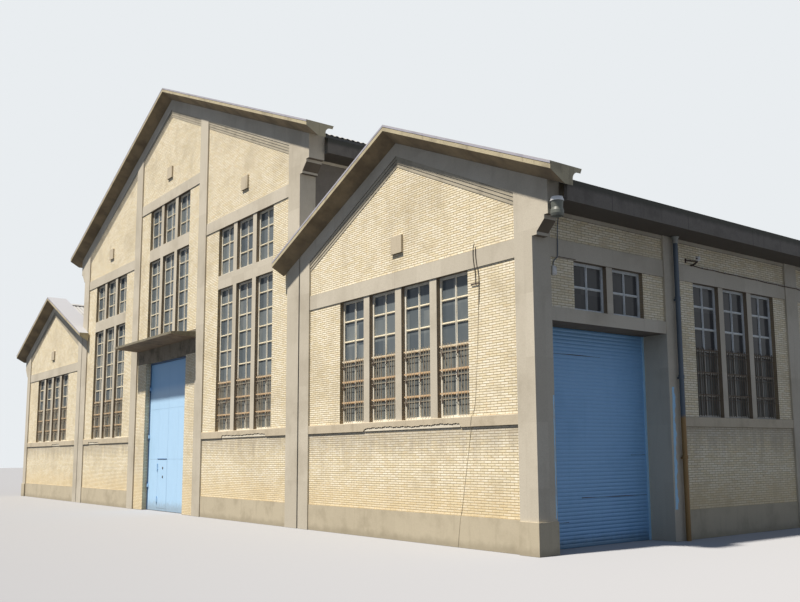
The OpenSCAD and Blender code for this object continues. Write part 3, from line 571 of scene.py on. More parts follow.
# The same paint on the cross bars, rusted orange where the grilles stand.
CROSS_PAINT = Finish("cross_bar_paint", "efe6cb", "c0ac86", 0.65, lumps=200.0, bump=0.001,
                     bands=(Band(4.25, 4.15, "b8884f", 0.65, 0.12, 100.0),))
# Pale paint on the glazing bars of the long sides.
SIDE_PAINT = Finish("side_bar_paint", "d3d8d8", "a3a6a2", 0.5, lumps=300.0, bump=0.001,
                    bands=(Band(4.25, 4.15, "9b9281", 0.7, 0.1, 100.0),))
# Thin paint on the grille rods over rust.
GRILLE_PAINT = Finish("grille_paint", "aca38e", "7b6751", 0.8, lumps=200.0, cloudy=0.6,
                      bump=0.002)
# Conduit over the gable wall: black above, dusty grey below.
CONDUIT_PAINT = Finish("conduit_paint", "b5ab93", "8a806b", 0.7, lumps=200.0, bump=0.001,
                       bands=(Band(4.8, 5.05, "38312a", 0.95, 0.05),))
# Old dull paint on the grilles of the long sides.
DULL_PAINT = Finish("dull_grille_paint", "5f5548", "3d332a", 0.85, lumps=200.0, bump=0.002)
# Bare steel, rusted nearly black.
RUSTED_STEEL = Finish("rusted_steel", "342a25", "543a2a", 0.85, lumps=200.0, bump=0.002)
# Drawn window glass: dark above, dusty behind the grilles.
WINDOW_GLASS = PaneGlass("window_glass_pane", "50595f", "6b7375", 0.1, gloss=0.15,
                         bump=0.0005, bands=(Band(4.25, 4.1, "73736a", 0.5),))
# Painted pipe, rusted low down.
PIPE_PAINT = Finish("downpipe_paint", "495664", "35404a", 0.6, bump=0.001,
                    bands=(Band(2.72, 2.62, "80653b", 1.0, 0.08),))
# Lamp: grey green body under a white enamel cap.
LAMP_SHELL = Finish("lamp_two_tone", "666a62", "4c4f48", 0.45, lumps=200.0, bump=0.0004,
                    bands=(Band(6.615, 6.62, "f0f0ec", 1.0, 0.0),))
# Grey plastic and galvanised steel of small fittings.
FITTING_GREY = Finish("fitting_grey", "999b96", "727570", 0.5, lumps=100.0, bump=0.0004)
# White plastic of the junction box.
BOX_WHITE = Finish("box_white", "dadad6", "b6b4ac", 0.45, lumps=100.0, bump=0.0003)


class NodeFinish(Enum):
    """Finish of each CAD node that stays in view."""

    front_pilasters = CAST_CONCRETE
    rear_pilasters = CAST_CONCRETE
    side_piers = CAST_CONCRETE
    nave_columns = CAST_CONCRETE
    plinths = PLINTH_CEMENT
    dado_brickwork = CREAM_BRICK
    window_piers = PIER_BRICK
    mullions = MULLION_CONCRETE
    transom_beams = CAST_CONCRETE
    lintel_bands = CAST_CONCRETE
    gable_brickwork = CREAM_BRICK
    side_top_brickwork = CREAM_BRICK
    corbel_courses = CORBEL_BRICK
    vent_blocks = SILL_CONCRETE
    rake_beams_right = CAST_CONCRETE
    rake_beams_left = CAST_CONCRETE
    verge_slabs_right = VERGE_CONCRETE
    verge_slabs_left = VERGE_CONCRETE
    roof_slabs_right = DARK_CONCRETE
    roof_slabs_left = DARK_CONCRETE
    ridge_caps = FIBRE_CEMENT
    nave_side_walls = SHADED_CONCRETE
    eave_beams = CAST_CONCRETE
    gutter_soffits = DARK_CONCRETE
    gutter_fascias = GUTTER_CONCRETE
    corner_capitals = CAST_CONCRETE
    door_piers = DOOR_BRICK
    door_lintel = STAINED_CONCRETE
    door_canopy = CANOPY_CONCRETE
    door_posts = FRAME_BLUE
    door_head = FRAME_BLUE
    left_door_leaf = DOOR_BLUE
    right_door_leaf = DOOR_BLUE
    wicket_door = DOOR_BLUE
    shutter_band_beam = CAST_CONCRETE
    shutter_guides = GUIDE_BLUE
    window_glass = WINDOW_GLASS
    downpipe = PIPE_PAINT
    wall_lamp = LAMP_SHELL


def dress_nodes(nodes: dict[str, bpy.types.Object]) -> None:
    """Puts the finish of each CAD node on its material slots.

    Args:
        nodes: Objects of the CAD nodes, by name.
    """
    for name, node in nodes.items():
        if name not in NodeFinish.__members__:
            continue
        made = NodeFinish.__members__[name].value.material()
        for place in node.material_slots:
            place.material = made
        if not node.material_slots:
            node.data.materials.append(made)
        LOG.info("%s dressed in %s", name, made.name)


def put(name: str, points: Array, faces: Faces, finish: Finish, slot: str,
        body: str = BUILDING, smooth: bool = False) -> bpy.types.Object:
    """Makes one piece of the building from points and faces.

    Args:
        name: Name of the piece.
        points: Array of shape (n, 3).
        faces: Corner numbers of each face.
        finish: Finish that the piece gets.
        slot: Material slot of the record; not used.
        body: Body on which the piece rides.
        smooth: Whether its faces are shaded smoothly.

    Returns:
        The new object, at the origin.
    """
    mesh = bpy.data.meshes.new(name)
    mesh.from_pydata(np.asarray(points, float).reshape(-1, 3).tolist(), [], faces)
    work = bmesh.new()
    work.from_mesh(mesh)
    bmesh.ops.recalc_face_normals(work, faces=work.faces)
    work.to_mesh(mesh)
    work.free()
    mesh.polygons.foreach_set("use_smooth", np.full(len(mesh.polygons), smooth))
    piece = bpy.data.objects.new(name, mesh)
    bpy.context.scene.collection.objects.link(piece)
    mesh.materials.append(finish.material())
    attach(piece, body)
    LOG.info("%s has %d faces", name, len(mesh.polygons))
    return piece


def carried(profile: Array, starts: Array, ends: Array, outward: Array) -> Made:
    """Carries one profile along many straight bars.

    A profile point (s, t) of a bar lies at its end point plus s times the side
    direction plus t times the outward direction, where the side is the cross
    product of the bar's direction and outward.

    Args:
        profile: Closed outline of shape (k, 2).
        starts: Start points of shape (n, 3).
        ends: End points of shape (n, 3).
        outward: Outward directions of shape (n, 3).

    Returns:
        Points of shape (n * 2 * k, 3) and faces.
    """
    run = ends - starts
    run = run / np.linalg.norm(run, axis=1, keepdims=True)
    side = np.cross(run, outward)
    offset = (side[:, None, :] * profile[None, :, :1]
              + outward[:, None, :] * profile[None, :, 1:])
    points = np.stack([starts[:, None, :] + offset, ends[:, None, :] + offset], axis=1)
    k, n = len(profile), len(starts)
    base = (np.arange(n) * 2 * k)[:, None]
    i = np.arange(k)[None, :]
    j = (i + 1) % k
    quads = np.stack([base + i, base + j, base + k + j, base + k + i], axis=2)
    caps = np.concatenate([base + i[:, ::-1], base + k + i])
    faces = [tuple(q) for q in quads.reshape(-1, 4).tolist()]
    return points.reshape(-1, 3), faces + [tuple(c) for c in caps.tolist()]


def joined(parts: Sequence[Made]) -> Made:
    """Puts several sets of points and faces into one.

    Args:
        parts: Points and faces of each part.

    Returns:
        All points, and all faces with their corners numbered on.
    """
    faces: Faces = []
    count = 0
    for points, some in parts:
        faces += [tuple(v + count for v in face) for face in some]
        count += len(points)
    return np.concatenate([points for points, _ in parts]), faces


def rectangle(width: float, low: float, high: float) -> Array:
    """Closed outline of a flat bar, centred sideways, between two depths."""
    h = width / 2
    return np.array([[-h, low], [h, low], [h, high], [-h, high]])


def ring(radius: float, sides: int) -> Array:
    """Closed outline of a round bar: radius * (cos a, sin a)."""
    turn = np.arange(sides) * 2 * math.pi / sides
    return np.stack([radius * np.cos(turn), radius * np.sin(turn)], axis=1)


def boxes(one: Array, two: Array) -> Made:
    """Closed boxes between opposite corners.

    Args:
        one: Corners of shape (n, 3).
        two: Opposite corners of shape (n, 3).

    Returns:
        Points of shape (n * 8, 3), each low + pick * (high - low), and faces.
    """
    low, high = np.minimum(one, two), np.maximum(one, two)
    pick = np.array([[i & 1, i >> 1 & 1, i >> 2 & 1] for i in range(8)], float)
    points = low[:, None, :] + pick[None] * (high - low)[:, None, :]
    quads = np.array([[0, 2, 3, 1], [4, 5, 7, 6], [0, 1, 5, 4], [2, 6, 7, 3],
                      [0, 4, 6, 2], [1, 3, 7, 5]])
    faces = (np.arange(len(low)) * 8)[:, None, None] + quads[None]
    return points.reshape(-1, 3), [tuple(f) for f in faces.reshape(-1, 4).tolist()]


def grid_faces(rows: int, columns: int) -> Faces:
    """Quads of a grid whose points run along the columns first.

    Args:
        rows: Number of rows of points.
        columns: Number of points in a row.

    Returns:
        Faces.
    """
    r, c = np.meshgrid(np.arange(rows - 1), np.arange(columns - 1), indexing="ij")
    first = (r * columns + c).ravel()
    quads = np.stack([first, first + 1, first + columns + 1, first + columns], axis=1)
    return [tuple(q) for q in quads.tolist()]


def skinned(rings: Array) -> Made:
    """Skin over closed rings that follow each other, with flat ends.

    Args:
        rings: Points of shape (n, k, 3).

    Returns:
        Points of shape (n * k, 3) and faces between each ring and the next.
    """
    n, k = rings.shape[:2]
    r, i = np.meshgrid(np.arange(n - 1), np.arange(k), indexing="ij")
    j = (i + 1) % k
    quads = np.stack([r * k + i, r * k + j, (r + 1) * k + j, (r + 1) * k + i], axis=2)
    ends = [tuple(range(k))[::-1], tuple(range((n - 1) * k, n * k))]
    return rings.reshape(-1, 3), [tuple(q) for q in quads.reshape(-1, 4).tolist()] + ends


def tube(path: Array, radius: float, sides: int = 8, round_off: int = 2) -> Made:
    """Round bar along a path whose corners are rounded by cutting them off.

    Each ring lies across the mean of the ways before and after its point, as
    radius * (cos a * across + sin a * above).

    Args:
        path: Points of shape (n, 3).
        radius: Radius of the bar.
        sides: Corners of each ring.
        round_off: How often the corners are cut, each time at a quarter of the way.

    Returns:
        Points and faces.
    """
    way = path
    for _ in range(round_off):
        near = way[:-1] * 0.75 + way[1:] * 0.25
        far = way[:-1] * 0.25 + way[1:] * 0.75
        way = np.concatenate([way[:1], np.stack([near, far], 1).reshape(-1, 3), way[-1:]])
    ahead = np.gradient(way, axis=0)
    ahead /= np.linalg.norm(ahead, axis=1, keepdims=True)
    skew = np.array([0.31, 0.93, 0.19])
    across = np.cross(ahead, skew)
    across /= np.linalg.norm(across, axis=1, keepdims=True)
    above = np.cross(ahead, across)
    round_ = ring(radius, sides)
    return skinned(way[:, None] + round_[None, :, :1] * across[:, None]
                   + round_[None, :, 1:] * above[:, None])


def turned(profile: Array, centre: Sequence[float], axis: Sequence[float],
           sides: int) -> Made:
    """Closed form turned about an axis.

    A profile point (r, h) becomes centre + h * axis + r * (cos a * u + sin a * v).

    Args:
        profile: Radii and heights of shape (k, 2), from one end to the other.
        centre: Foot of the axis.
        axis: Direction of the axis, of length 1.
        sides: Number of steps round the axis.

    Returns:
        Points and faces.
    """
    axis = np.asarray(axis, float)
    u = np.cross(axis, (0.0, 0.0, 1.0) if abs(axis[2]) < 0.9 else (1.0, 0.0, 0.0))
    u /= np.linalg.norm(u)
    round_ = ring(1.0, sides) @ np.stack([u, np.cross(axis, u)])
    return skinned(np.asarray(centre, float) + profile[:, 1, None, None] * axis
                   + profile[:, 0, None, None] * round_[None])


class Wall(Enum):
    """Walls of the building, with the way each looks."""

    FRONT = (0.0, -1.0, 0.0)
    REAR = (0.0, 1.0, 0.0)
    RIGHT = (1.0, 0.0, 0.0)
    LEFT = (-1.0, 0.0, 0.0)


GABLES = (Wall.FRONT, Wall.REAR)
LONG_SIDES = (Wall.RIGHT, Wall.LEFT)


def mirrored(bay: Span, s: int) -> Span:
    """Ends of a bay on the right (1), or of its mirror image on the left (-1)."""
    return bay if s > 0 else (-bay[1], -bay[0])


@dataclass(frozen=True)
class Plan:
    """Main places of the building, the same as in the part's source.

    A peak is the height at which the undersides of two rake beams meet, and a rake is
    how far they fall in a metre.
    """

    nave_half: float = 9.52
    wing: float = 8.93
    joint: float = 0.06
    depth: float = 23.70
    pilaster: float = 0.50
    nave_corner: float = 0.64
    bay_axis: float = 3.01
    bay_pilaster: float = 0.60
    first_bay: float = 4.075
    pitch: float = 5.0
    full_bays: int = 3
    pier: float = 0.55
    recess: float = 0.05
    inner: float = 0.35
    glass: float = 0.183
    light: float = 1.06
    mullion: float = 0.245
    side_light: float = 0.99
    side_mullion: float = 0.19
    sill_low: float = 2.45
    sill: float = 2.66
    shutter_head: float = 4.73
    door_half: float = 1.82
    door_head: float = 5.32
    lintel: float = 5.73
    lintel_top: float = 6.11
    eave: float = 6.59
    low_lights: float = 7.18
    up_lights: float = 7.61
    up_lintel: float = 9.15
    mid_lights: float = 9.60
    mid_lintel: float = 11.11
    band: float = 0.38
    wing_mid: float = 14.045
    wing_ridge: float = 9.58
    nave_ridge: float = 15.32
    wing_slope: float = 1.942 / 4.465
    nave_slope: float = 4.075 / 9.52
    wing_peak: float = 8.89
    nave_peak: float = 14.55
    wing_rake: float = 0.46647
    nave_rake: float = 0.43931

    @property
    def wing_in(self) -> float:
        """Inner end of the right wing."""
        return self.nave_half + self.joint

    @property
    def wing_out(self) -> float:
        """Outer face of the right wing."""
        return self.wing_in + self.wing

    @property
    def wing_bay(self) -> Span:
        """Ends of the right wing's panels between its pilasters."""
        return self.wing_in + self.pilaster, self.wing_out - self.pilaster

    @property
    def outer_bay(self) -> Span:
        """Ends of the nave's outer panels on the right."""
        return self.bay_axis + self.bay_pilaster / 2, self.nave_half - self.nave_corner

    @property
    def middle_bay(self) -> Span:
        """Ends of the nave's middle panels."""
        return -self.bay_axis + self.bay_pilaster / 2, self.bay_axis - self.bay_pilaster / 2

    def side_bays(self) -> list[Span]:
        """Lists the bays along a long side, behind the front pilaster faces.

        Returns:
            Ends of each bay, from the front to the rear.
        """
        piers = [self.first_bay + i * self.pitch for i in range(self.full_bays + 1)]
        lows = [self.pilaster] + [p + self.pier for p in piers]
        highs = piers + [self.depth - self.pilaster]
        return list(zip(lows, highs))

    def lights_of(self, wall: Wall) -> Span:
        """Width of a light and of a mullion on a wall."""
        return (self.side_light, self.side_mullion) if wall in LONG_SIDES else (
            self.light, self.mullion)

    def row(self, wall: Wall, bay: Span, count: int) -> Span:
        """Finds a row of lights, which stands in the middle of its bay.

        Args:
            wall: Wall on which the bay is.
            bay: Ends of the bay.
            count: Number of lights.

        Returns:
            Ends of the row, which is count lights and count - 1 mullions wide.
        """
        light, mullion = self.lights_of(wall)
        half = (count * light + (count - 1) * mullion) / 2
        return sum(bay) / 2 - half, sum(bay) / 2 + half

    def at(self, wall: Wall, along: Any, depth: Any, z: Any) -> Array:
        """Finds places on a wall.

        Args:
            wall: Which wall.
            along: X on a gable, or the distance behind the pilaster faces on a side.
            depth: Distance behind the outer faces of the wall's pilasters.
            z: Height.

        Returns:
            Points of shape (..., 3).
        """
        along, depth, z = np.broadcast_arrays(*(np.asarray(v, float) for v in (along, depth, z)))
        if wall is Wall.FRONT:
            return np.stack([along, FRONT_Y + depth, z], axis=-1)
        if wall is Wall.REAR:
            return np.stack([along, FRONT_Y + self.depth - depth, z], axis=-1)
        side = (self.wing_out - depth) * wall.value[0]
        return np.stack([side, FRONT_Y + along, z], axis=-1)

    def path(self, wall: Wall, rows: Sequence[tuple[float, float, float]]) -> Array:
        """Points on a wall, each given as its place along, its depth and its height."""
        return self.at(wall, *np.array(rows).T)


@dataclass
class BrickCourses:
    """Courses of brick that stand proud of their bed joints on every brick panel."""

    plan: Plan
    bed: float = 0.011
    proud: float = 0.002
    sunk: float = 0.002
    corbel: float = 0.258
    thinnest: float = 0.008
    shortest: float = 0.05
    strips: dict[Wall, list[tuple[float, ...]]] = field(
        default_factory=lambda: {wall: [] for wall in Wall})
    beside_door: list[tuple[float, ...]] = field(default_factory=list)

    def levels(self, low: float, high: float) -> Array:
        """Lower and upper edges of the courses between two heights.

        Course k lies from plinth + k * course + bed / 2 to plinth + (k + 1) * course
        - bed / 2, and is cut off at the two heights.

        Args:
            low: Lower height.
            high: Upper height.

        Returns:
            Edges of shape (n, 2).
        """
        k = np.arange(math.floor((low - PLINTH_TOP) / COURSE),
                      math.ceil((high - PLINTH_TOP) / COURSE))
        z0 = np.maximum(PLINTH_TOP + k * COURSE + self.bed / 2, low)
        z1 = np.minimum(PLINTH_TOP + (k + 1) * COURSE - self.bed / 2, high)
        keep = z1 - z0 > self.thinnest
        return np.stack([z0[keep], z1[keep]], axis=1)

    def panel(self, walls: Sequence[Wall], a: float, b: float, low: float, high: float) -> None:
        """Fills a rectangle on some walls with courses.

        Args:
            walls: Walls that have the panel.
            a: Start of the panel.
            b: End of the panel.
            low: Lower edge.
            high: Upper edge.
        """
        for wall in walls:
            self.strips[wall] += [(a, b, z0, z1) for z0, z1 in self.levels(low, high).tolist()]

    def gable(self, bay: Span, low: float, mid: float, peak: float, slope: float) -> None:
        """Fills a panel below two slopes on both gables, down to where it is flat.

        A course ends where its upper edge meets peak - slope * |x - mid|.

        Args:
            bay: Ends of the panel.
            low: Lower edge.
            mid: X of the ridge.
            peak: Height of the slopes at the ridge.
            slope: Fall of the slopes.
        """
        rows = self.levels(low, peak)
        reach = (peak - rows[:, 1]) / slope
        left, right = np.maximum(bay[0], mid - reach), np.minimum(bay[1], mid + reach)
        keep = right - left > self.shortest
        for wall in GABLES:
            self.strips[wall] += list(zip(left[keep].tolist(), right[keep].tolist(),
                                          *rows[keep].T.tolist()))

    def lay_out(self) -> None:
        """Lists the brick panels of all walls, as the CAD's brick nodes have them."""
        p = self.plan
        wing_peak, nave_peak = p.wing_peak - self.corbel, p.nave_peak - self.corbel
        for s in (1, -1):
            for bay, count, top in ((p.wing_bay, 4, p.lintel), (p.outer_bay, 3, p.up_lintel)):
                a, b = mirrored(bay, s)
                start, end = p.row(Wall.FRONT, (a, b), count)
                self.panel(GABLES, a, b, PLINTH_TOP, p.sill_low)
                self.panel(GABLES, a, start, p.sill, top)
                self.panel(GABLES, end, b, p.sill, top)
            self.gable(mirrored(p.wing_bay, s), p.lintel_top, s * p.wing_mid, wing_peak,
                       p.wing_rake)
            self.gable(mirrored(p.outer_bay, s), p.up_lintel + p.band, 0.0, nave_peak,
                       p.nave_rake)
        self.gable(p.middle_bay, p.mid_lintel + p.band, 0.0, nave_peak, p.nave_rake)
        a, b = p.middle_bay
        start, end = p.row(Wall.FRONT, p.middle_bay, 3)
        for wall, low in ((Wall.FRONT, p.lintel_top), (Wall.REAR, p.sill)):
            self.panel((wall,), a, start, low, p.mid_lintel)
            self.panel((wall,), end, b, low, p.mid_lintel)
        for near, far in ((a, -p.door_half), (p.door_half, b)):
            self.beside_door += [(near, far, z0, z1)
                                 for z0, z1 in self.levels(0.0, p.door_head).tolist()]
        self.panel((Wall.REAR,), a, b, PLINTH_TOP, p.sill_low)
        for wall in LONG_SIDES:
            self.side_panels(wall)

    def side_panels(self, wall: Wall) -> None:
        """Lists the brick panels of a long side, with none under the shutter's lights.

        Args:
            wall: Which long side.
        """
        p = self.plan
        bays = p.side_bays()
        for i, (a, b) in enumerate(bays):
            start, end = p.row(wall, (a, b), 2 if i in (0, len(bays) - 1) else 3)
            shutter = wall is Wall.RIGHT and i == 0
            low = p.shutter_head if shutter else p.sill
            self.panel((wall,), a, start, low, p.lintel)
            self.panel((wall,), end, b, low, p.lintel)
            self.panel((wall,), a, b, p.lintel_top, p.eave)
            if not shutter:
                self.panel((wall,), a, b, PLINTH_TOP, p.sill_low)

    def build(self) -> None:
        """Builds one piece of courses for each wall, and one beside the door."""
        self.lay_out()
        panels = [(wall.name.lower(), wall, rows, CREAM_BRICK)
                  for wall, rows in self.strips.items()]
        panels.append(("door", Wall.FRONT, self.beside_door, DOOR_BRICK))
        for name, wall, rows, finish in panels:
            a, b, z0, z1 = np.array(rows).T
            back = self.plan.at(wall, a, self.plan.recess + self.sunk, z0)
            face = self.plan.at(wall, b, self.plan.recess - self.proud, z1)
            put(f"brick_courses_{name}", *boxes(back, face), finish, "brick")


@dataclass
class Sills:
    """Concrete sill bands, broken away along their lower edge under some windows.

    Smear is how far behind the band's face the mortar has its foot and its head, and how
    far it reaches behind the broken face.
    """

    plan: Plan
    face: float = 0.01
    chamfer: float = 0.012
    step: float = 0.02
    broken: tuple[Span, ...] = ((12.66, 16.29), (4.80, 7.70), (-8.2, -6.9), (-13.6, -12.4))
    depth: float = 0.095
    back: float = 0.034
    lip: float = 0.006
    run_out: float = 0.05
    gap: float = 0.02
    smear_end: float = 0.04
    smear: tuple[float, float, float] = (0.012, 0.016, 0.004)

    def loss(self, x: Array) -> Array:
        """Height lost at the lower edge.

        It is depth times 0.8 plus a sum of four sines of x inside each broken run, and
        falls to nothing within run_out of the run's ends.

        Args:
            x: Places along the front.

        Returns:
            Height lost at each place.
        """
        bite = (0.8 + 0.10 * np.sin(x * 2.9) + 0.06 * np.sin(x * 9.7 + 1.0)
                + 0.07 * np.sin(x * 27.0 + 0.5) + 0.06 * np.sin(x * 71.0))
        inside = np.zeros_like(x)
        for a, b in self.broken:
            near = np.minimum(x - a, b - x) / self.run_out
            inside = np.maximum(inside, np.clip(near, 0, 1))
        return self.depth * bite * inside

    def band(self, wall: Wall, bay: Span, worn: bool = False) -> Made:
        """One band: a ring of seven points carried along the wall, set back where it broke.

        Args:
            wall: Which wall.
            bay: Ends of the band.
            worn: Whether its lower edge has broken runs.

        Returns:
            Points and faces.
        """
        n = max(2, int((bay[1] - bay[0]) / self.step)) if worn else 2
        x = np.linspace(*bay, n)
        loss = self.loss(x) if worn else np.zeros(n)
        low, high = np.full(n, self.plan.sill_low), np.full(n, self.plan.sill)
        behind, inner = self.face + self.back, self.plan.inner
        depth = np.array([self.face + self.chamfer, self.face, self.face, behind, behind,
                          inner, inner])
        z = np.stack([high, high - self.chamfer, low + loss, low + loss + self.lip, low, low,
                      high], axis=1)
        return skinned(self.plan.at(wall, x[:, None], depth, z))

    def mortar(self, a: float, b: float) -> Made:
        """Mortar under one broken run: four points to a ring, a ragged gap below the break.

        Args:
            a: Start of the run.
            b: End of the run.

        Returns:
            Points and faces.
        """
        x = np.linspace(a + self.smear_end, b - self.smear_end, int((b - a) / self.step))
        low = np.full(len(x), self.plan.sill_low + 0.002)
        ragged = self.gap * (1.1 + 0.5 * np.sin(x * 43.0))
        top = low + np.maximum(self.loss(x) - ragged, 0.004)
        foot, head, back = self.smear
        behind = self.face + self.back + back
        depth = np.array([self.face + foot, self.face + head, behind, behind])
        z = np.stack([low, top, top, low], axis=1)
        return skinned(self.plan.at(Wall.FRONT, x[:, None], depth, z))

    def build(self) -> None:
        """Builds every sill band in the place of the CAD node, and the mortar."""
        p = self.plan
        made = [self.band(wall, mirrored(bay, s), wall is Wall.FRONT)
                for wall in GABLES for s in (1, -1) for bay in (p.wing_bay, p.outer_bay)]
        made.append(self.band(Wall.REAR, p.middle_bay))
        made += [self.band(wall, bay) for wall in LONG_SIDES
                 for i, bay in enumerate(p.side_bays()) if wall is Wall.LEFT or i]
        piece = put("worn_sill_bands", *joined(made), SILL_CONCRETE, "concrete")
        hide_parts("sill_bands")
        put("sill_mortar", *joined([self.mortar(a, b) for a, b in self.broken]), LIME_MORTAR,
            "concrete")


@dataclass(frozen=True)
class Light:
    """One window light: its lower left corner at the glass, its ways and its size."""

    corner: Array
    along: Array
    outward: Array
    width: float
    height: float
    rows: int
    grilled: int

    def at(self, x: float, z: float, out: float = 0.0) -> Array:
        """Place at x and z from the corner, and out before the glass."""
        return self.corner + self.along * x + UP * z + self.outward * out


@dataclass
class Run:
    """Bars of one profile: their starts, ends and outward ways."""

    profile: Array
    rows: list[tuple[Array, Array, Array]] = field(default_factory=list)

    def bar(self, light: Light, start: Sequence[float], end: Sequence[float]) -> None:
        """Adds one bar between two places of a light."""
        self.rows.append((light.at(*start), light.at(*end), light.outward))

    def made(self) -> Made:
        """Carries the profile along every bar."""
        return carried(self.profile, *(np.array(column) for column in zip(*self.rows)))


@dataclass
class Windows:
    """All window lights, their glazing bars and their grilles.

    A hook's root and tip are each a height from the top of its row of panes and a
    distance out from the glass.
    """

    plan: Plan
    bar_width: float = 0.05
    edge_width: float = 0.056
    edge_depth: Span = (0.002, 0.034)
    grille_out: float = 0.075
    rod: float = 0.009
    rods: int = 4
    rod_foot: float = 0.03
    teeth: float = 0.07
    rail: float = 0.014
    top_rail: float = 0.03
    flat: float = 0.004
    rail_drop: float = 0.115
    top_lift: float = 0.012
    margin: float = 0.02
    hook: float = 0.016
    hook_root: Span = (-0.02, 0.02)
    hook_tip: Span = (-0.05, 0.115)
    lights: list[Light] = field(default_factory=list)

    def row(self, wall: Wall, bay: Span, count: int, low: float, high: float,
            rows: int, grilled: int = 0) -> None:
        """Adds a row of lights in the middle of a bay.

        A light's way along is the cross product of up and outward, so its corner is at
        the far end where that way runs against the axis.

        Args:
            wall: Which wall.
            bay: Ends of the bay.
            count: Number of lights.
            low: Lower edge.
            high: Upper edge.
            rows: Rows of panes.
            grilled: Rows of panes behind the grille.
        """
        width, mullion = self.plan.lights_of(wall)
        outward = np.array(wall.value)
        along = np.cross(UP, outward)
        start = self.plan.row(wall, bay, count)[0] + (width if along.sum() < 0 else 0.0)
        for i in range(count):
            corner = self.plan.at(wall, start + i * (width + mullion), self.plan.glass, low)
            self.lights.append(Light(corner, along, outward, width, high - low, rows, grilled))

    def lay_out(self) -> None:
        """Places every light where the CAD leaves an opening."""
        p = self.plan
        for wall in GABLES:
            for s in (1, -1):
                wing, outer = mirrored(p.wing_bay, s), mirrored(p.outer_bay, s)
                self.row(wall, wing, 4, p.sill, p.lintel, 6, 3)
                self.row(wall, outer, 3, p.sill, p.low_lights, 9, 3)
                self.row(wall, outer, 3, p.up_lights, p.up_lintel, 3)
            self.row(wall, p.middle_bay, 3, p.lintel_top, p.up_lintel, 6)
            self.row(wall, p.middle_bay, 3, p.mid_lights, p.mid_lintel, 3)
        self.row(Wall.REAR, p.middle_bay, 3, p.sill, p.lintel_top - 0.001, 7, 3)
        bays = p.side_bays()
        for wall in LONG_SIDES:
            for i, bay in enumerate(bays):
                if wall is Wall.RIGHT and i == 0:
                    self.row(wall, bay, 2, p.shutter_head, p.lintel, 2)
                else:
                    count = 2 if i in (0, len(bays) - 1) else 3
                    self.row(wall, bay, count, p.sill, p.lintel, 6, 3)

    def bars(self, lights: list[Light]) -> tuple[Made, Made]:
        """Makes glazing bars of tee steel inside flat edge frames.

        Args:
            lights: Lights that get them.

        Returns:
            Edge frames with the upright bars, and the cross bars.
        """
        tee = np.array([[-0.5, 0.002], [0.5, 0.002], [0.5, 0.008], [0.2, 0.012],
                        [0.2, 0.03], [-0.2, 0.03], [-0.2, 0.012], [-0.5, 0.008]])
        thin = tee * np.array([self.bar_width, 1.0])
        edges = Run(rectangle(self.edge_width, *self.edge_depth))
        middles, crosses = Run(thin), Run(thin)
        m, half = self.edge_width / 2, self.bar_width / 2
        for l in lights:
            w, h = l.width, l.height
            for start, end in (((m, 0), (m, h)), ((w - m, 0), (w - m, h)),
                               ((2 * m, m), (w - 2 * m, m)),
                               ((2 * m, h - m), (w - 2 * m, h - m))):
                edges.bar(l, start, end)
            middles.bar(l, (w / 2, 2 * m), (w / 2, h - 2 * m))
            for r in range(1, l.rows):
                z = h * r / l.rows
                crosses.bar(l, (2 * m, z), (w / 2 - half, z))
                crosses.bar(l, (w / 2 + half, z), (w - 2 * m, z))
        return joined([edges.made(), middles.made()]), crosses.made()

    def grilles(self, lights: list[Light], reach: float) -> tuple[Made, Made, Made]:
        """Makes rods that end in short teeth, flat rails, and the hooks that hold them.

        Args:
            lights: Lights of which some have a grille.
            reach: How far the hooks lean sideways and down.

        Returns:
            Rods and lower rails, top rails, and hooks.
        """
        rods, hooks = Run(ring(self.rod, 6)), Run(ring(self.hook, 6))
        rails = Run(rectangle(self.rail, -self.flat, self.flat))
        tops = Run(rectangle(self.top_rail, -self.flat, self.flat))
        out, side = self.grille_out, self.margin
        for l in (light for light in lights if light.grilled):
            row = l.height / l.rows
            for x0 in (0.0, l.width / 2):
                for k in range(1, self.rods + 1):
                    x = x0 + side + (l.width / 2 - 2 * side) * k / (self.rods + 1)
                    rods.bar(l, (x, self.rod_foot, out), (x, row * l.grilled + self.teeth, out))
                for r in range(1, l.grilled + 1):
                    x, (root, near), (tip, far) = x0 + side, self.hook_root, self.hook_tip
                    hooks.bar(l, (x, row * r + root, near),
                              (x + reach, row * r + tip - reach, far))
            for r in range(1, l.grilled + 1):
                for run, z in ((tops, row * r + self.top_lift),
                               (rails, row * r - self.rail_drop)):
                    run.bar(l, (side, z, out), (l.width - side, z, out))
        return joined([rods.made(), rails.made()]), tops.made(), hooks.made()

    def build(self) -> None:
        """Builds the bars and the grilles."""
        self.lay_out()
        gables = [l for l in self.lights if l.outward[0] == 0]
        sides = [l for l in self.lights if l.outward[0] != 0]
        frames, crosses = self.bars(gables)
        put("window_frames", *frames, BAR_PAINT, "pipe_paint")
        put("glazing_cross_bars", *crosses, CROSS_PAINT, "pipe_paint")
        put("side_window_bars", *joined(self.bars(sides)), SIDE_PAINT, "pipe_paint")
        for place, lights, paint, rail, reach in (
                ("gable", gables, GRILLE_PAINT, CROSS_PAINT, 0.13),
                ("side", sides, DULL_PAINT, DULL_PAINT, 0.02)):
            rods, tops, hooks = self.grilles(lights, reach)
            put(f"{place}_grille_rods", *rods, paint, "pipe_paint")
            put(f"{place}_grille_top_rails", *tops, rail, "pipe_paint")
            put(f"{place}_grille_hooks", *hooks, RUSTED_STEEL, "pipe_paint")


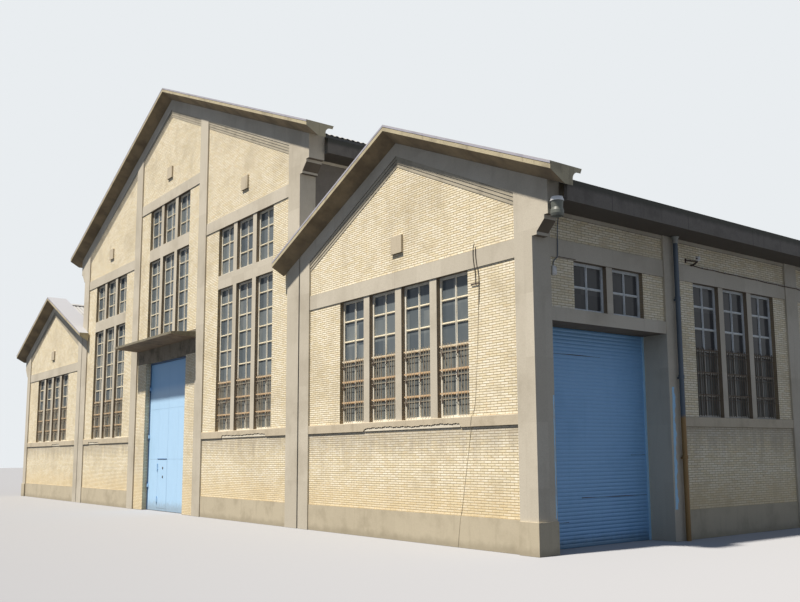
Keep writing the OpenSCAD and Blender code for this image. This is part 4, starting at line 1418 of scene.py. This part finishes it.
@dataclass
class Shutter:
    """Curtain of rolled steel slats with a few dents, and paint on the wall beside it.

    Each dent is its Y, its height, its two radii and its depth. Each sprung gap is its
    height and its ends behind the front pilaster faces.
    """

    plan: Plan
    x: float = 17.86
    ends: Span = (FRONT_Y + 0.57, FRONT_Y + 4.005)
    foot: float = 0.002
    top: float = 4.46
    slat: float = 0.078245
    bulge: float = 0.011
    steel: float = 0.002
    columns: int = 100
    rows_per_slat: int = 8
    dents: tuple[tuple[float, ...], ...] = (
        (-9.0, 0.9, 0.8, 0.35, 0.02), (-10.2, 1.5, 0.5, 0.3, 0.014),
        (-8.3, 2.1, 0.6, 0.5, 0.01), (-9.6, 0.35, 1.0, 0.2, 0.012))
    deepest: float = 0.026
    sprung: tuple[tuple[float, float, float], ...] = (
        (0.978, 1.9, 3.98), (0.505, 0.62, 1.5), (1.84, 3.5, 3.98), (3.91, 0.6, 2.6))

    def face(self, yy: Array, zz: Array) -> Array:
        """X of the curtain: slats in half waves, less a few round dents.

        It is x - bulge * (1 - |sin(pi z / slat)| ^ 0.6) - the sum of the dents, each
        depth * exp(-((y - cy) / ry) ^ 2 - ((z - cz) / rz) ^ 2), down to the deepest.

        Args:
            yy: Places across the curtain.
            zz: Heights.

        Returns:
            X of each place.
        """
        wave = self.bulge * (1 - np.abs(np.sin(math.pi * zz / self.slat)) ** 0.6)
        pressed = np.zeros_like(yy)
        for cy, cz, ry, rz, depth in self.dents:
            pressed += depth * np.exp(-((yy - cy) / ry) ** 2 - ((zz - cz) / rz) ** 2)
        return self.x - wave - np.minimum(pressed, self.deepest)

    def surface(self) -> Made:
        """Works out the curtain as a grid over its width and height.

        Returns:
            Points and faces.
        """
        rows = round(self.top / self.slat) * self.rows_per_slat
        yy, zz = np.meshgrid(np.linspace(*self.ends, self.columns),
                             np.linspace(self.foot, self.top, rows + 1))
        front = np.stack([self.face(yy, zz), yy, zz], axis=2).reshape(-1, 3)
        return front, grid_faces(*yy.shape)

    def gap(self, level: float, near: float, far: float) -> Made:
        """Dark strip as painted shade where two slats sprang apart: four points to a ring along
        Y.

        Its half height is 0.006 + 0.003 sin 5y, and it wanders by 0.004 sin 1.7y.

        Args:
            level: Height.
            near: Start behind the front pilaster faces.
            far: End behind the front pilaster faces.

        Returns:
            Points and faces.
        """
        y = FRONT_Y + np.linspace(near, far, 60)[:, None] + np.zeros(4)
        half = 0.006 + 0.003 * np.sin(y * 5.0)
        z = level + half * np.array([-1.0, 1.0, 1.0, -1.0]) + 0.004 * np.sin(y * 1.7)
        x = self.face(y, z) + np.array([0.002, 0.002, -0.004, -0.004])
        return skinned(np.stack([x, y, z], axis=2))

    def smear(self, high: float, top: float, foot: float, wide: float) -> Made:
        """Smear of paint up a pier from the plinth, four points to a ring.

        Its near edge runs from foot to top and wanders by 0.004 sin 17z, and its width
        is wide * (1 + 0.2 sin 9z + 0.15 sin 31z).

        Args:
            high: Height of its upper end.
            top: Near edge at the upper end.
            foot: Near edge at the lower end.
            wide: Mean width.

        Returns:
            Points and faces.
        """
        low = PLINTH_TOP + 0.03
        z = np.linspace(low, high, 60)
        start = np.interp(z, [low, high], [foot, top]) + 0.004 * np.sin(z * 17)
        end = start + wide * (1 + 0.2 * np.sin(z * 9) + 0.15 * np.sin(z * 31))
        along = np.stack([start, end, end, start], 1)
        depth = np.array([-0.0012, -0.0012, 0.002, 0.002])
        return skinned(self.plan.at(Wall.RIGHT, along, depth, z[:, None]))

    def foot_bar(self) -> Made:
        """Bar along the foot: a five point ring carried along Y.

        Returns:
            Points and faces.
        """
        section = np.array([[-0.006, 0.0], [0.006, 0.0], [0.009, 0.02], [0.006, 0.06],
                            [-0.006, 0.06]])
        rings = np.zeros((2, len(section), 3))
        rings[:, :, 0] = self.x - 0.008 + section[:, 0]
        rings[:, :, 1] = np.array(self.ends)[:, None]
        rings[:, :, 2] = section[:, 1]
        return skinned(rings)

    def build(self) -> None:
        """Builds the curtain in the place of its CAD slab, and what is on and beside it."""
        piece = put("shutter_curtain", *self.surface(), SHUTTER_BLUE, "shutter_paint")
        solid = piece.modifiers.new("thickness", "SOLIDIFY")
        solid.thickness = self.steel
        solid.offset = 0.0
        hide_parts("roller_shutter")
        # Dark strips of rusted steel stand in the sprung gaps as painted shade.
        put("shutter_gap_shade_strips", *joined([self.gap(*gap) for gap in self.sprung]),
            RUSTED_STEEL, "shutter_paint")
        put("shutter_foot_bar", *self.foot_bar(), SHUTTER_BLUE, "shutter_paint")
        bay = self.plan.first_bay
        put("blue_paint_smear", *joined([self.smear(3.3, bay + 0.10, bay + 0.035, 0.085),
                                         self.smear(3.0, 0.462, 0.458, 0.026)]),
            GUIDE_BLUE, "shutter_paint")


@dataclass
class Sheeting:
    """Corrugated sheets on one slope, laid in lapping courses from its ridge to its foot."""

    ridge: Span
    foot: Span
    courses: int
    near: float
    far: float
    wave: float = 0.177
    height: float = 0.026
    points_per_wave: int = 10
    sunk: float = 0.038
    lap: float = 0.02
    lift: float = 0.010

    def surface(self) -> Made:
        """Waves across the slope: height * (0.5 + 0.5 cos(2 pi y / wave)), in courses.

        Returns:
            Points and faces.
        """
        count = max(3, int((self.far - self.near) / self.wave * self.points_per_wave))
        y = np.linspace(self.near, self.far, count)
        wave = self.height * (0.5 + 0.5 * np.cos(2 * math.pi * y / self.wave))
        parts = []
        for k in range(self.courses):
            t = np.array([k / self.courses, min(1.0, (k + 1) / self.courses + self.lap)])
            x = self.ridge[0] + (self.foot[0] - self.ridge[0]) * t
            z = self.ridge[1] + (self.foot[1] - self.ridge[1]) * t - self.sunk
            z = z + np.array([0.0, self.lift])
            points = np.stack(np.broadcast_arrays(x[:, None], y[None, :],
                                                  z[:, None] + wave[None, :]), axis=2)
            parts.append((points.reshape(-1, 3), grid_faces(2, count)))
        return joined(parts)


@dataclass
class Roofs:
    """Sheeting of the nave and of both wings.

    The sheets begin at start behind the front pilaster faces, and are past the corner
    pilasters at corner. The wings' inner slopes end at inner, or at notch beside them.
    """

    plan: Plan
    drop: float = 0.25
    eave_out: float = 0.34
    inner: float = 9.47
    notch: float = 9.585
    start: float = 0.24
    corner: float = 0.505

    def wing_point(self, s: int, x: float) -> Span:
        """X and height of a wing's covering, on the right (1) or the left (-1)."""
        p = self.plan
        return s * x, p.wing_ridge - self.drop - p.wing_slope * abs(abs(x) - p.wing_mid)

    def nave_point(self, s: int, x: float) -> Span:
        """X and height of the nave's covering, on the right (1) or the left (-1)."""
        return s * x, self.plan.nave_ridge - self.drop - self.plan.nave_slope * abs(x)

    def half(self, s: int) -> Made:
        """Sheets of one half: a nave slope, an outer and an inner wing slope.

        The wings' inner slopes end further out where the corner pilasters stand.

        Args:
            s: 1 for the right half, -1 for the left.

        Returns:
            Points and faces.
        """
        p = self.plan
        y0, y1, y2, y3 = (FRONT_Y + y for y in (self.start, self.corner,
                                                p.depth - self.corner, p.depth - self.start))
        nave_foot = self.nave_point(s, p.nave_half + self.eave_out)
        wing_foot = self.wing_point(s, p.wing_out + self.eave_out)
        out = self.wing_point(s, p.wing_mid)
        slopes = [Sheeting(self.nave_point(s, 0.0), nave_foot, 6, y0, y3),
                  Sheeting(out, wing_foot, 3, y0, y3)]
        into = self.wing_point(-s, p.wing_mid)
        for near, far, end in ((y0, y1, self.notch), (y1, y2, self.inner),
                               (y2, y3, self.notch)):
            slopes.append(Sheeting(into, self.wing_point(-s, end), 3, near, far))
        return joined([slope.surface() for slope in slopes])

    def build(self) -> None:
        """Builds the sheets of each half in the place of its plain covering."""
        for half, s in (("right", 1), ("left", -1)):
            piece = put(f"roof_sheets_{half}", *self.half(s), FIBRE_CEMENT, "roof_sheet",
                        smooth=True)
            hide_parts(f"roof_covering_{half}")


@dataclass
class Verges:
    """Thin zinc flashing along the upper edge of the moulded verges."""

    plan: Plan
    out: float = -0.38
    height: float = 0.05
    thick: float = 0.004
    below: float = 0.0015
    bends: int = 16
    nave_end: float = 10.498
    wing_ends: Span = (8.682, 19.408)

    def strip(self, x0: float, x1: float, mid: float, ridge: float, slope: float) -> Made:
        """A flat strip on the front whose upper edge is ridge - slope * |x - mid|.

        Its lower edge hangs unevenly, by 0.004 |sin 2.3 i| at bend i.

        Args:
            x0: X of its upper end.
            x1: X of its lower end.
            mid: X of the ridge.
            ridge: Height of the ridge.
            slope: Fall of the verge.

        Returns:
            Points and faces.
        """
        x = np.linspace(x0, x1, self.bends)
        top = ridge - slope * np.abs(x - mid) - self.below
        low = top - self.height - 0.004 * np.abs(np.sin(np.arange(self.bends) * 2.3))
        back, face = self.out + self.thick, self.out - self.thick
        return skinned(self.plan.at(Wall.FRONT, x[:, None], np.array([back, face, face, back]),
                                    np.stack([top, top, low, low], axis=1)))

    def build(self) -> None:
        """Builds the flashing of the three front gables."""
        p = self.plan
        made = []
        for s in (1, -1):
            made.append(self.strip(0.0, s * self.nave_end, 0.0, p.nave_ridge, p.nave_slope))
            made += [self.strip(s * p.wing_mid, s * end, s * p.wing_mid, p.wing_ridge,
                                p.wing_slope) for end in self.wing_ends]
        put("verge_flashings", *joined(made), FLASHING, "concrete")


@dataclass
class Fittings:
    """Conduits, clipped cables, brackets and the pipe outlet on the right wing."""

    plan: Plan
    conduit: float = 0.010
    front_conduit: float = 0.009
    thin_conduit: float = 0.005
    cable: float = 0.011
    thin_cable: float = 0.006
    cable_end: float = 13.2
    cable_places: tuple[float, ...] = (5.10, 5.5, 7.5, 9.8, 13.2)
    cable_heights: tuple[float, ...] = (6.13, 6.115, 6.095, 6.06, 6.03)

    def front_conduits(self) -> Made:
        """Two conduits over the lintel that meet under a flat iron and go down as one.

        Returns:
            Points and faces.
        """
        left = [(16.80, 0.012, 6.24), (16.755, 0.012, 6.12), (16.755, 0.012, 5.95),
                (16.79, 0.012, 5.74), (16.80, 0.034, 5.60), (16.80, 0.034, 5.38)]
        right = [(16.84, 0.012, 6.16), (16.83, 0.012, 6.0), (16.87, 0.012, 5.75),
                 (16.90, 0.034, 5.6), (16.905, 0.034, 5.36), (16.89, 0.034, 5.0)]
        down = [(16.89, 0.036, 5.10), (16.85, 0.045, 4.6), (16.74, 0.045, 3.0),
                (16.66, 0.042, 2.72), (16.63, 0.004, 2.66), (16.60, 0.004, 2.46),
                (16.57, 0.044, 2.36), (16.41, 0.045, 1.55), (16.24, 0.045, 0.70),
                (16.22, 0.026, 0.62), (16.13, 0.026, 0.003)]
        return joined([tube(self.plan.path(Wall.FRONT, rows), radius) for rows, radius in (
            (left, self.front_conduit), (right, self.front_conduit),
            (down, self.thin_conduit))])

    def front_bracket(self) -> Made:
        """Flat iron across the conduits, with its ends bent to the wall.

        Returns:
            Points and faces.
        """
        way = self.plan.at(Wall.FRONT, [16.66, 16.665, 16.69, 16.89, 16.915, 16.92],
                           [0.046, 0.022, 0.018, 0.018, 0.022, 0.046], 5.39)
        section = np.array([[0, 0, -0.014], [0, 0, 0.014], [0, 0.004, 0.014],
                            [0, 0.004, -0.014]])
        return skinned(way[:, None] + section[None])

    def side_conduit(self) -> Made:
        """Conduit from the gutter down beside the corner pilaster to the box.

        Returns:
            Points and faces.
        """
        rows = [(0.72, -0.03, 6.665), (0.72, -0.028, 6.52), (0.718, 0.010, 6.36),
                (0.716, 0.008, 5.80), (0.70, 0.018, 5.72), (0.62, 0.036, 5.66),
                (0.60, 0.036, 5.54)]
        return tube(self.plan.path(Wall.RIGHT, rows), self.conduit)

    def lintel_cable(self) -> Made:
        """Thin cable under the lintel's lower edge, which sags by 0.004 |sin 14y|.

        Returns:
            Points and faces.
        """
        y = np.linspace(0.72, 1.24, 14)
        z = 5.752 - 0.004 * np.abs(np.sin(y * 14))
        return tube(self.plan.at(Wall.RIGHT, y, 0.018, z), self.thin_cable, 6, 1)

    def wall_cable(self) -> Made:
        """Cable clipped along the lintel from the bracket, over the pier and on.

        It falls slowly, and sags by 0.012 |sin(pi (y - start) / 0.9)| between clips.

        Returns:
            Points and faces.
        """
        start = self.cable_places[0]
        y = np.linspace(start, self.cable_end, 110)
        z = np.interp(y, self.cable_places, self.cable_heights)
        z = z - 0.012 * np.abs(np.sin((y - start) * math.pi / 0.9))
        depth = np.where((y > 9.0) & (y < 9.70), -0.012, 0.014)
        return tube(self.plan.at(Wall.RIGHT, y, depth, z), self.cable, 6, 1)

    def cable_clips(self) -> Made:
        """Small clips that hold the cable at every 0.45 m, but not on the pier.

        Returns:
            Points and faces.
        """
        y = np.arange(5.55, self.cable_end, 0.45)
        y = y[(y < 8.95) | (y > 9.75)]
        z = np.interp(y, self.cable_places, self.cable_heights)
        return boxes(self.plan.at(Wall.RIGHT, y - 0.008, 0.05, z - 0.02),
                     self.plan.at(Wall.RIGHT, y + 0.008, 0.002, z + 0.012))

    def side_bracket(self) -> Made:
        """Wall bracket with a plate, a brace and an arm that leans out to a hook.

        Returns:
            Points and faces.
        """
        arm = [(5.12, 0.05, 6.12), (5.12, -0.02, 6.12), (5.15, -0.10, 6.17),
               (5.17, -0.13, 6.22), (5.15, -0.14, 6.26), (5.12, -0.12, 6.25)]
        brace = [(4.92, 0.046, 6.22), (5.02, 0.036, 6.23), (5.15, -0.10, 6.20)]
        plate = [(4.94, 0.044, 6.16), (4.94, 0.036, 6.26)]
        return joined([tube(self.plan.path(Wall.RIGHT, arm), 0.022),
                       tube(self.plan.path(Wall.RIGHT, brace), 0.016),
                       tube(self.plan.path(Wall.RIGHT, plate), 0.024, 4, 0)])

    def insulator(self) -> Made:
        """Glazed insulator with two sheds, turned about an upright axis.

        Returns:
            Points and faces.
        """
        profile = 1.4 * np.array([[0.012, 0], [0.036, 0.008], [0.040, 0.028], [0.024, 0.040],
                                  [0.040, 0.052], [0.034, 0.076], [0.012, 0.084]])
        return turned(profile, self.plan.at(Wall.RIGHT, 5.17, -0.13, 6.20), UP, 14)

    def junction_box(self) -> Made:
        """Box with rounded corners, its ring |u|^6 + |v|^6 = 1 drawn in towards its lid.

        Returns:
            Points and faces.
        """
        turn = ring(1.0, 32)
        u, v = (np.sign(turn) * np.abs(turn) ** (1 / 3)).T
        size = np.array([1.0, 1.0, 0.94, 0.9, 0.88])[:, None]
        depth = np.array([0.052, 0.0, -0.006, -0.007, -0.018])[:, None]
        return skinned(self.plan.at(Wall.RIGHT, 0.60 + 0.052 * size * u, depth,
                                    5.45 + 0.095 * size * v))

    def outlet(self) -> Made:
        """Flared outlet ring at the head of the downpipe, turned about its axis.

        Returns:
            Points and faces.
        """
        profile = np.array([[0.056, -0.16], [0.062, -0.155], [0.062, -0.10], [0.072, -0.06],
                            [0.078, -0.03], [0.090, -0.025], [0.090, -0.002], [0.02, -0.001]])
        return turned(profile, self.plan.at(Wall.RIGHT, 4.395, -0.095, 6.67), UP, 28)

    def build(self) -> None:
        """Builds each fitting as a piece of its own."""
        for name, made, finish, slot, smooth in (
                ("front_conduits", self.front_conduits(), CONDUIT_PAINT, "pipe_paint", False),
                ("front_conduit_bracket", self.front_bracket(), RUSTED_STEEL, "pipe_paint",
                 False),
                ("side_conduit", self.side_conduit(), PIPE_PAINT, "pipe_paint", False),
                ("lintel_cable", self.lintel_cable(), RUSTED_STEEL, "pipe_paint", False),
                ("wall_cable", self.wall_cable(), RUSTED_STEEL, "pipe_paint", False),
                ("cable_clips", self.cable_clips(), FITTING_GREY, "pipe_paint", False),
                ("side_bracket", self.side_bracket(), RUSTED_STEEL, "pipe_paint", False),
                ("side_insulator", self.insulator(), BOX_WHITE, "lamp_shell", True),
                ("junction_box", self.junction_box(), BOX_WHITE, "lamp_shell", True),
                ("pipe_outlet", self.outlet(), FITTING_GREY, "pipe_paint", True)):
            put(name, *made, finish, slot, smooth=smooth)


@dataclass
class DoorDetails:
    """Lock plates on the wicket and the drip strip over it."""

    lock_x: float = -0.41
    levels: Span = (1.50, 1.19)
    face: float = 0.235
    drip_ends: Span = (-0.90, -0.06)

    def plates(self) -> Made:
        """Round lock plates with a raised middle, turned about the door's normal.

        Returns:
            Points and faces.
        """
        profile = np.array([[0.048, -0.002], [0.048, 0.003], [0.040, 0.006], [0.020, 0.007],
                            [0.018, 0.014], [0.006, 0.016]])
        return joined([turned(profile, (self.lock_x, FRONT_Y + self.face, z),
                              Wall.FRONT.value, 20) for z in self.levels])

    def drip(self) -> Made:
        """Sloping strip over the wicket: a five point ring carried along X.

        Returns:
            Points and faces.
        """
        x = np.array(self.drip_ends)
        section = np.array([[0.0, 0.238, 1.816], [0.0, 0.219, 1.816], [0.0, 0.217, 1.822],
                            [0.0, 0.229, 1.838], [0.0, 0.238, 1.838]])
        return skinned(section[None] + np.stack([x, 0 * x + FRONT_Y, 0 * x], 1)[:, None])

    def build(self) -> None:
        """Builds the plates on the wicket and the strip on the left leaf."""
        put("wicket_lock_plates", *self.plates(), RUSTED_STEEL, "door_paint", "wicket")
        put("wicket_drip_strip", *self.drip(), FRAME_BLUE, "door_paint", "left_leaf")


@dataclass
class Studio:
    """Camera at the photo's place, sun from the front and high up, pale sky and floor."""

    yaw: float = 51.474
    pitch: float = 7.619
    roll: float = -0.584
    place: tuple[float, float, float] = (30.360, -23.432, 1.905)
    lens: float = 39.71
    shift: Span = (-0.0454, 0.0434)
    sun: float = 6.0
    sun_colour: str = "fff7ec"
    sun_way: tuple[float, float, float] = (-0.10, -1.0, 1.80)
    sun_size: float = 2.5
    fill: float = 0.36
    fill_colour: str = "c2d4f4"
    sky: str = "e9edf0"
    floor_seen: str = "a9aaac"
    floor_bounce: str = "64676c"
    floor_radius: float = 160.0
    floor_level: float = -0.004

    def camera(self) -> None:
        """Places the camera by yaw, pitch and roll.

        The right vector is (cos yaw, sin yaw, 0) and the view vector is
        (-sin yaw cos pitch, cos yaw cos pitch, sin pitch); roll turns the picture.
        """
        a, p, r = (math.radians(v) for v in (self.yaw, self.pitch, self.roll))
        right = Vector((math.cos(a), math.sin(a), 0))
        ahead = Vector((-math.sin(a) * math.cos(p), math.cos(a) * math.cos(p), math.sin(p)))
        up = right.cross(ahead)
        across = math.cos(r) * right + math.sin(r) * up
        above = -math.sin(r) * right + math.cos(r) * up
        data = bpy.data.cameras.new("camera")
        data.sensor_width = 36.0
        data.lens = self.lens
        data.shift_x, data.shift_y = self.shift
        data.clip_end = 500.0
        camera = bpy.data.objects.new("camera", data)
        camera.matrix_world = Matrix.Translation(self.place) @ Matrix(
            (across, above, -ahead)).transposed().to_4x4()
        bpy.context.scene.collection.objects.link(camera)
        bpy.context.scene.camera = camera

    def lamps(self) -> None:
        """A warm sun from the front and high up, and an even bluish sky."""
        data = bpy.data.lights.new("sun", "SUN")
        data.energy = self.sun
        data.color = linear(self.sun_colour)[:3]
        data.angle = math.radians(self.sun_size)
        key = bpy.data.objects.new("sun", data)
        toward = Vector(self.sun_way).normalized()
        key.matrix_world = toward.to_track_quat("Z", "Y").to_matrix().to_4x4()
        bpy.context.scene.collection.objects.link(key)
        world = bpy.data.worlds.new("sky")
        bpy.context.scene.world = world
        world.use_nodes = True
        tree = world.node_tree
        tree.nodes.clear()
        light = add(tree, Kind.GLOW, self.fill_colour, self.fill)
        backdrop = add(tree, Kind.GLOW, self.sky, 1.0)
        add(tree, Kind.SKY, add(tree, Kind.MIX_LIGHT, self.seen(tree), light, backdrop))

    @staticmethod
    def seen(tree: Tree) -> Socket:
        """1 where the camera sees a thing itself or in a mirror or glass, else 0.

        Args:
            tree: Node tree of the world or the floor.

        Returns:
            The largest of the three kinds of ray.
        """
        path = add(tree, Kind.LIGHT_PATH).node.outputs
        direct = add(tree, Kind.LARGER, path["Is Camera Ray"], path["Is Glossy Ray"])
        return add(tree, Kind.LARGER, direct, path["Is Transmission Ray"])

    def ground(self) -> None:
        """A pale floor, a disc whose points are radius * (cos a, sin a)."""
        rim = ring(self.floor_radius, 96)
        points = np.column_stack([rim, np.full(len(rim), self.floor_level)])
        mesh = bpy.data.meshes.new("floor")
        mesh.from_pydata(points.tolist(), [], [tuple(range(len(rim)))])
        floor = bpy.data.objects.new("floor", mesh)
        bpy.context.scene.collection.objects.link(floor)
        made = bpy.data.materials.new("studio_floor")
        made.use_nodes = True
        tree = made.node_tree
        tree.nodes.clear()
        tone = add(tree, Kind.BLEND, self.seen(tree), self.floor_bounce, self.floor_seen)
        add(tree, Kind.SURFACE, add(tree, Kind.MATT, tone, 0.6))
        mesh.materials.append(made)

    def build(self) -> None:
        """Sets the studio up."""
        bpy.context.scene.view_settings.view_transform = "Standard"
        self.camera()
        self.lamps()
        self.ground()


def main() -> None:
    """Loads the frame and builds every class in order."""
    logging.basicConfig(level=logging.INFO, format="%(message)s")
    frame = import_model()
    plan = Plan()
    Studio().build()
    dress_nodes(frame["nodes"])
    for sub in (BrickCourses(plan), Sills(plan), Windows(plan), Shutter(plan), Roofs(plan),
                Verges(plan), Fittings(plan), DoorDetails()):
        sub.build()
        LOG.info("%s done", type(sub).__name__)


if __name__ == "__main__":
    main()
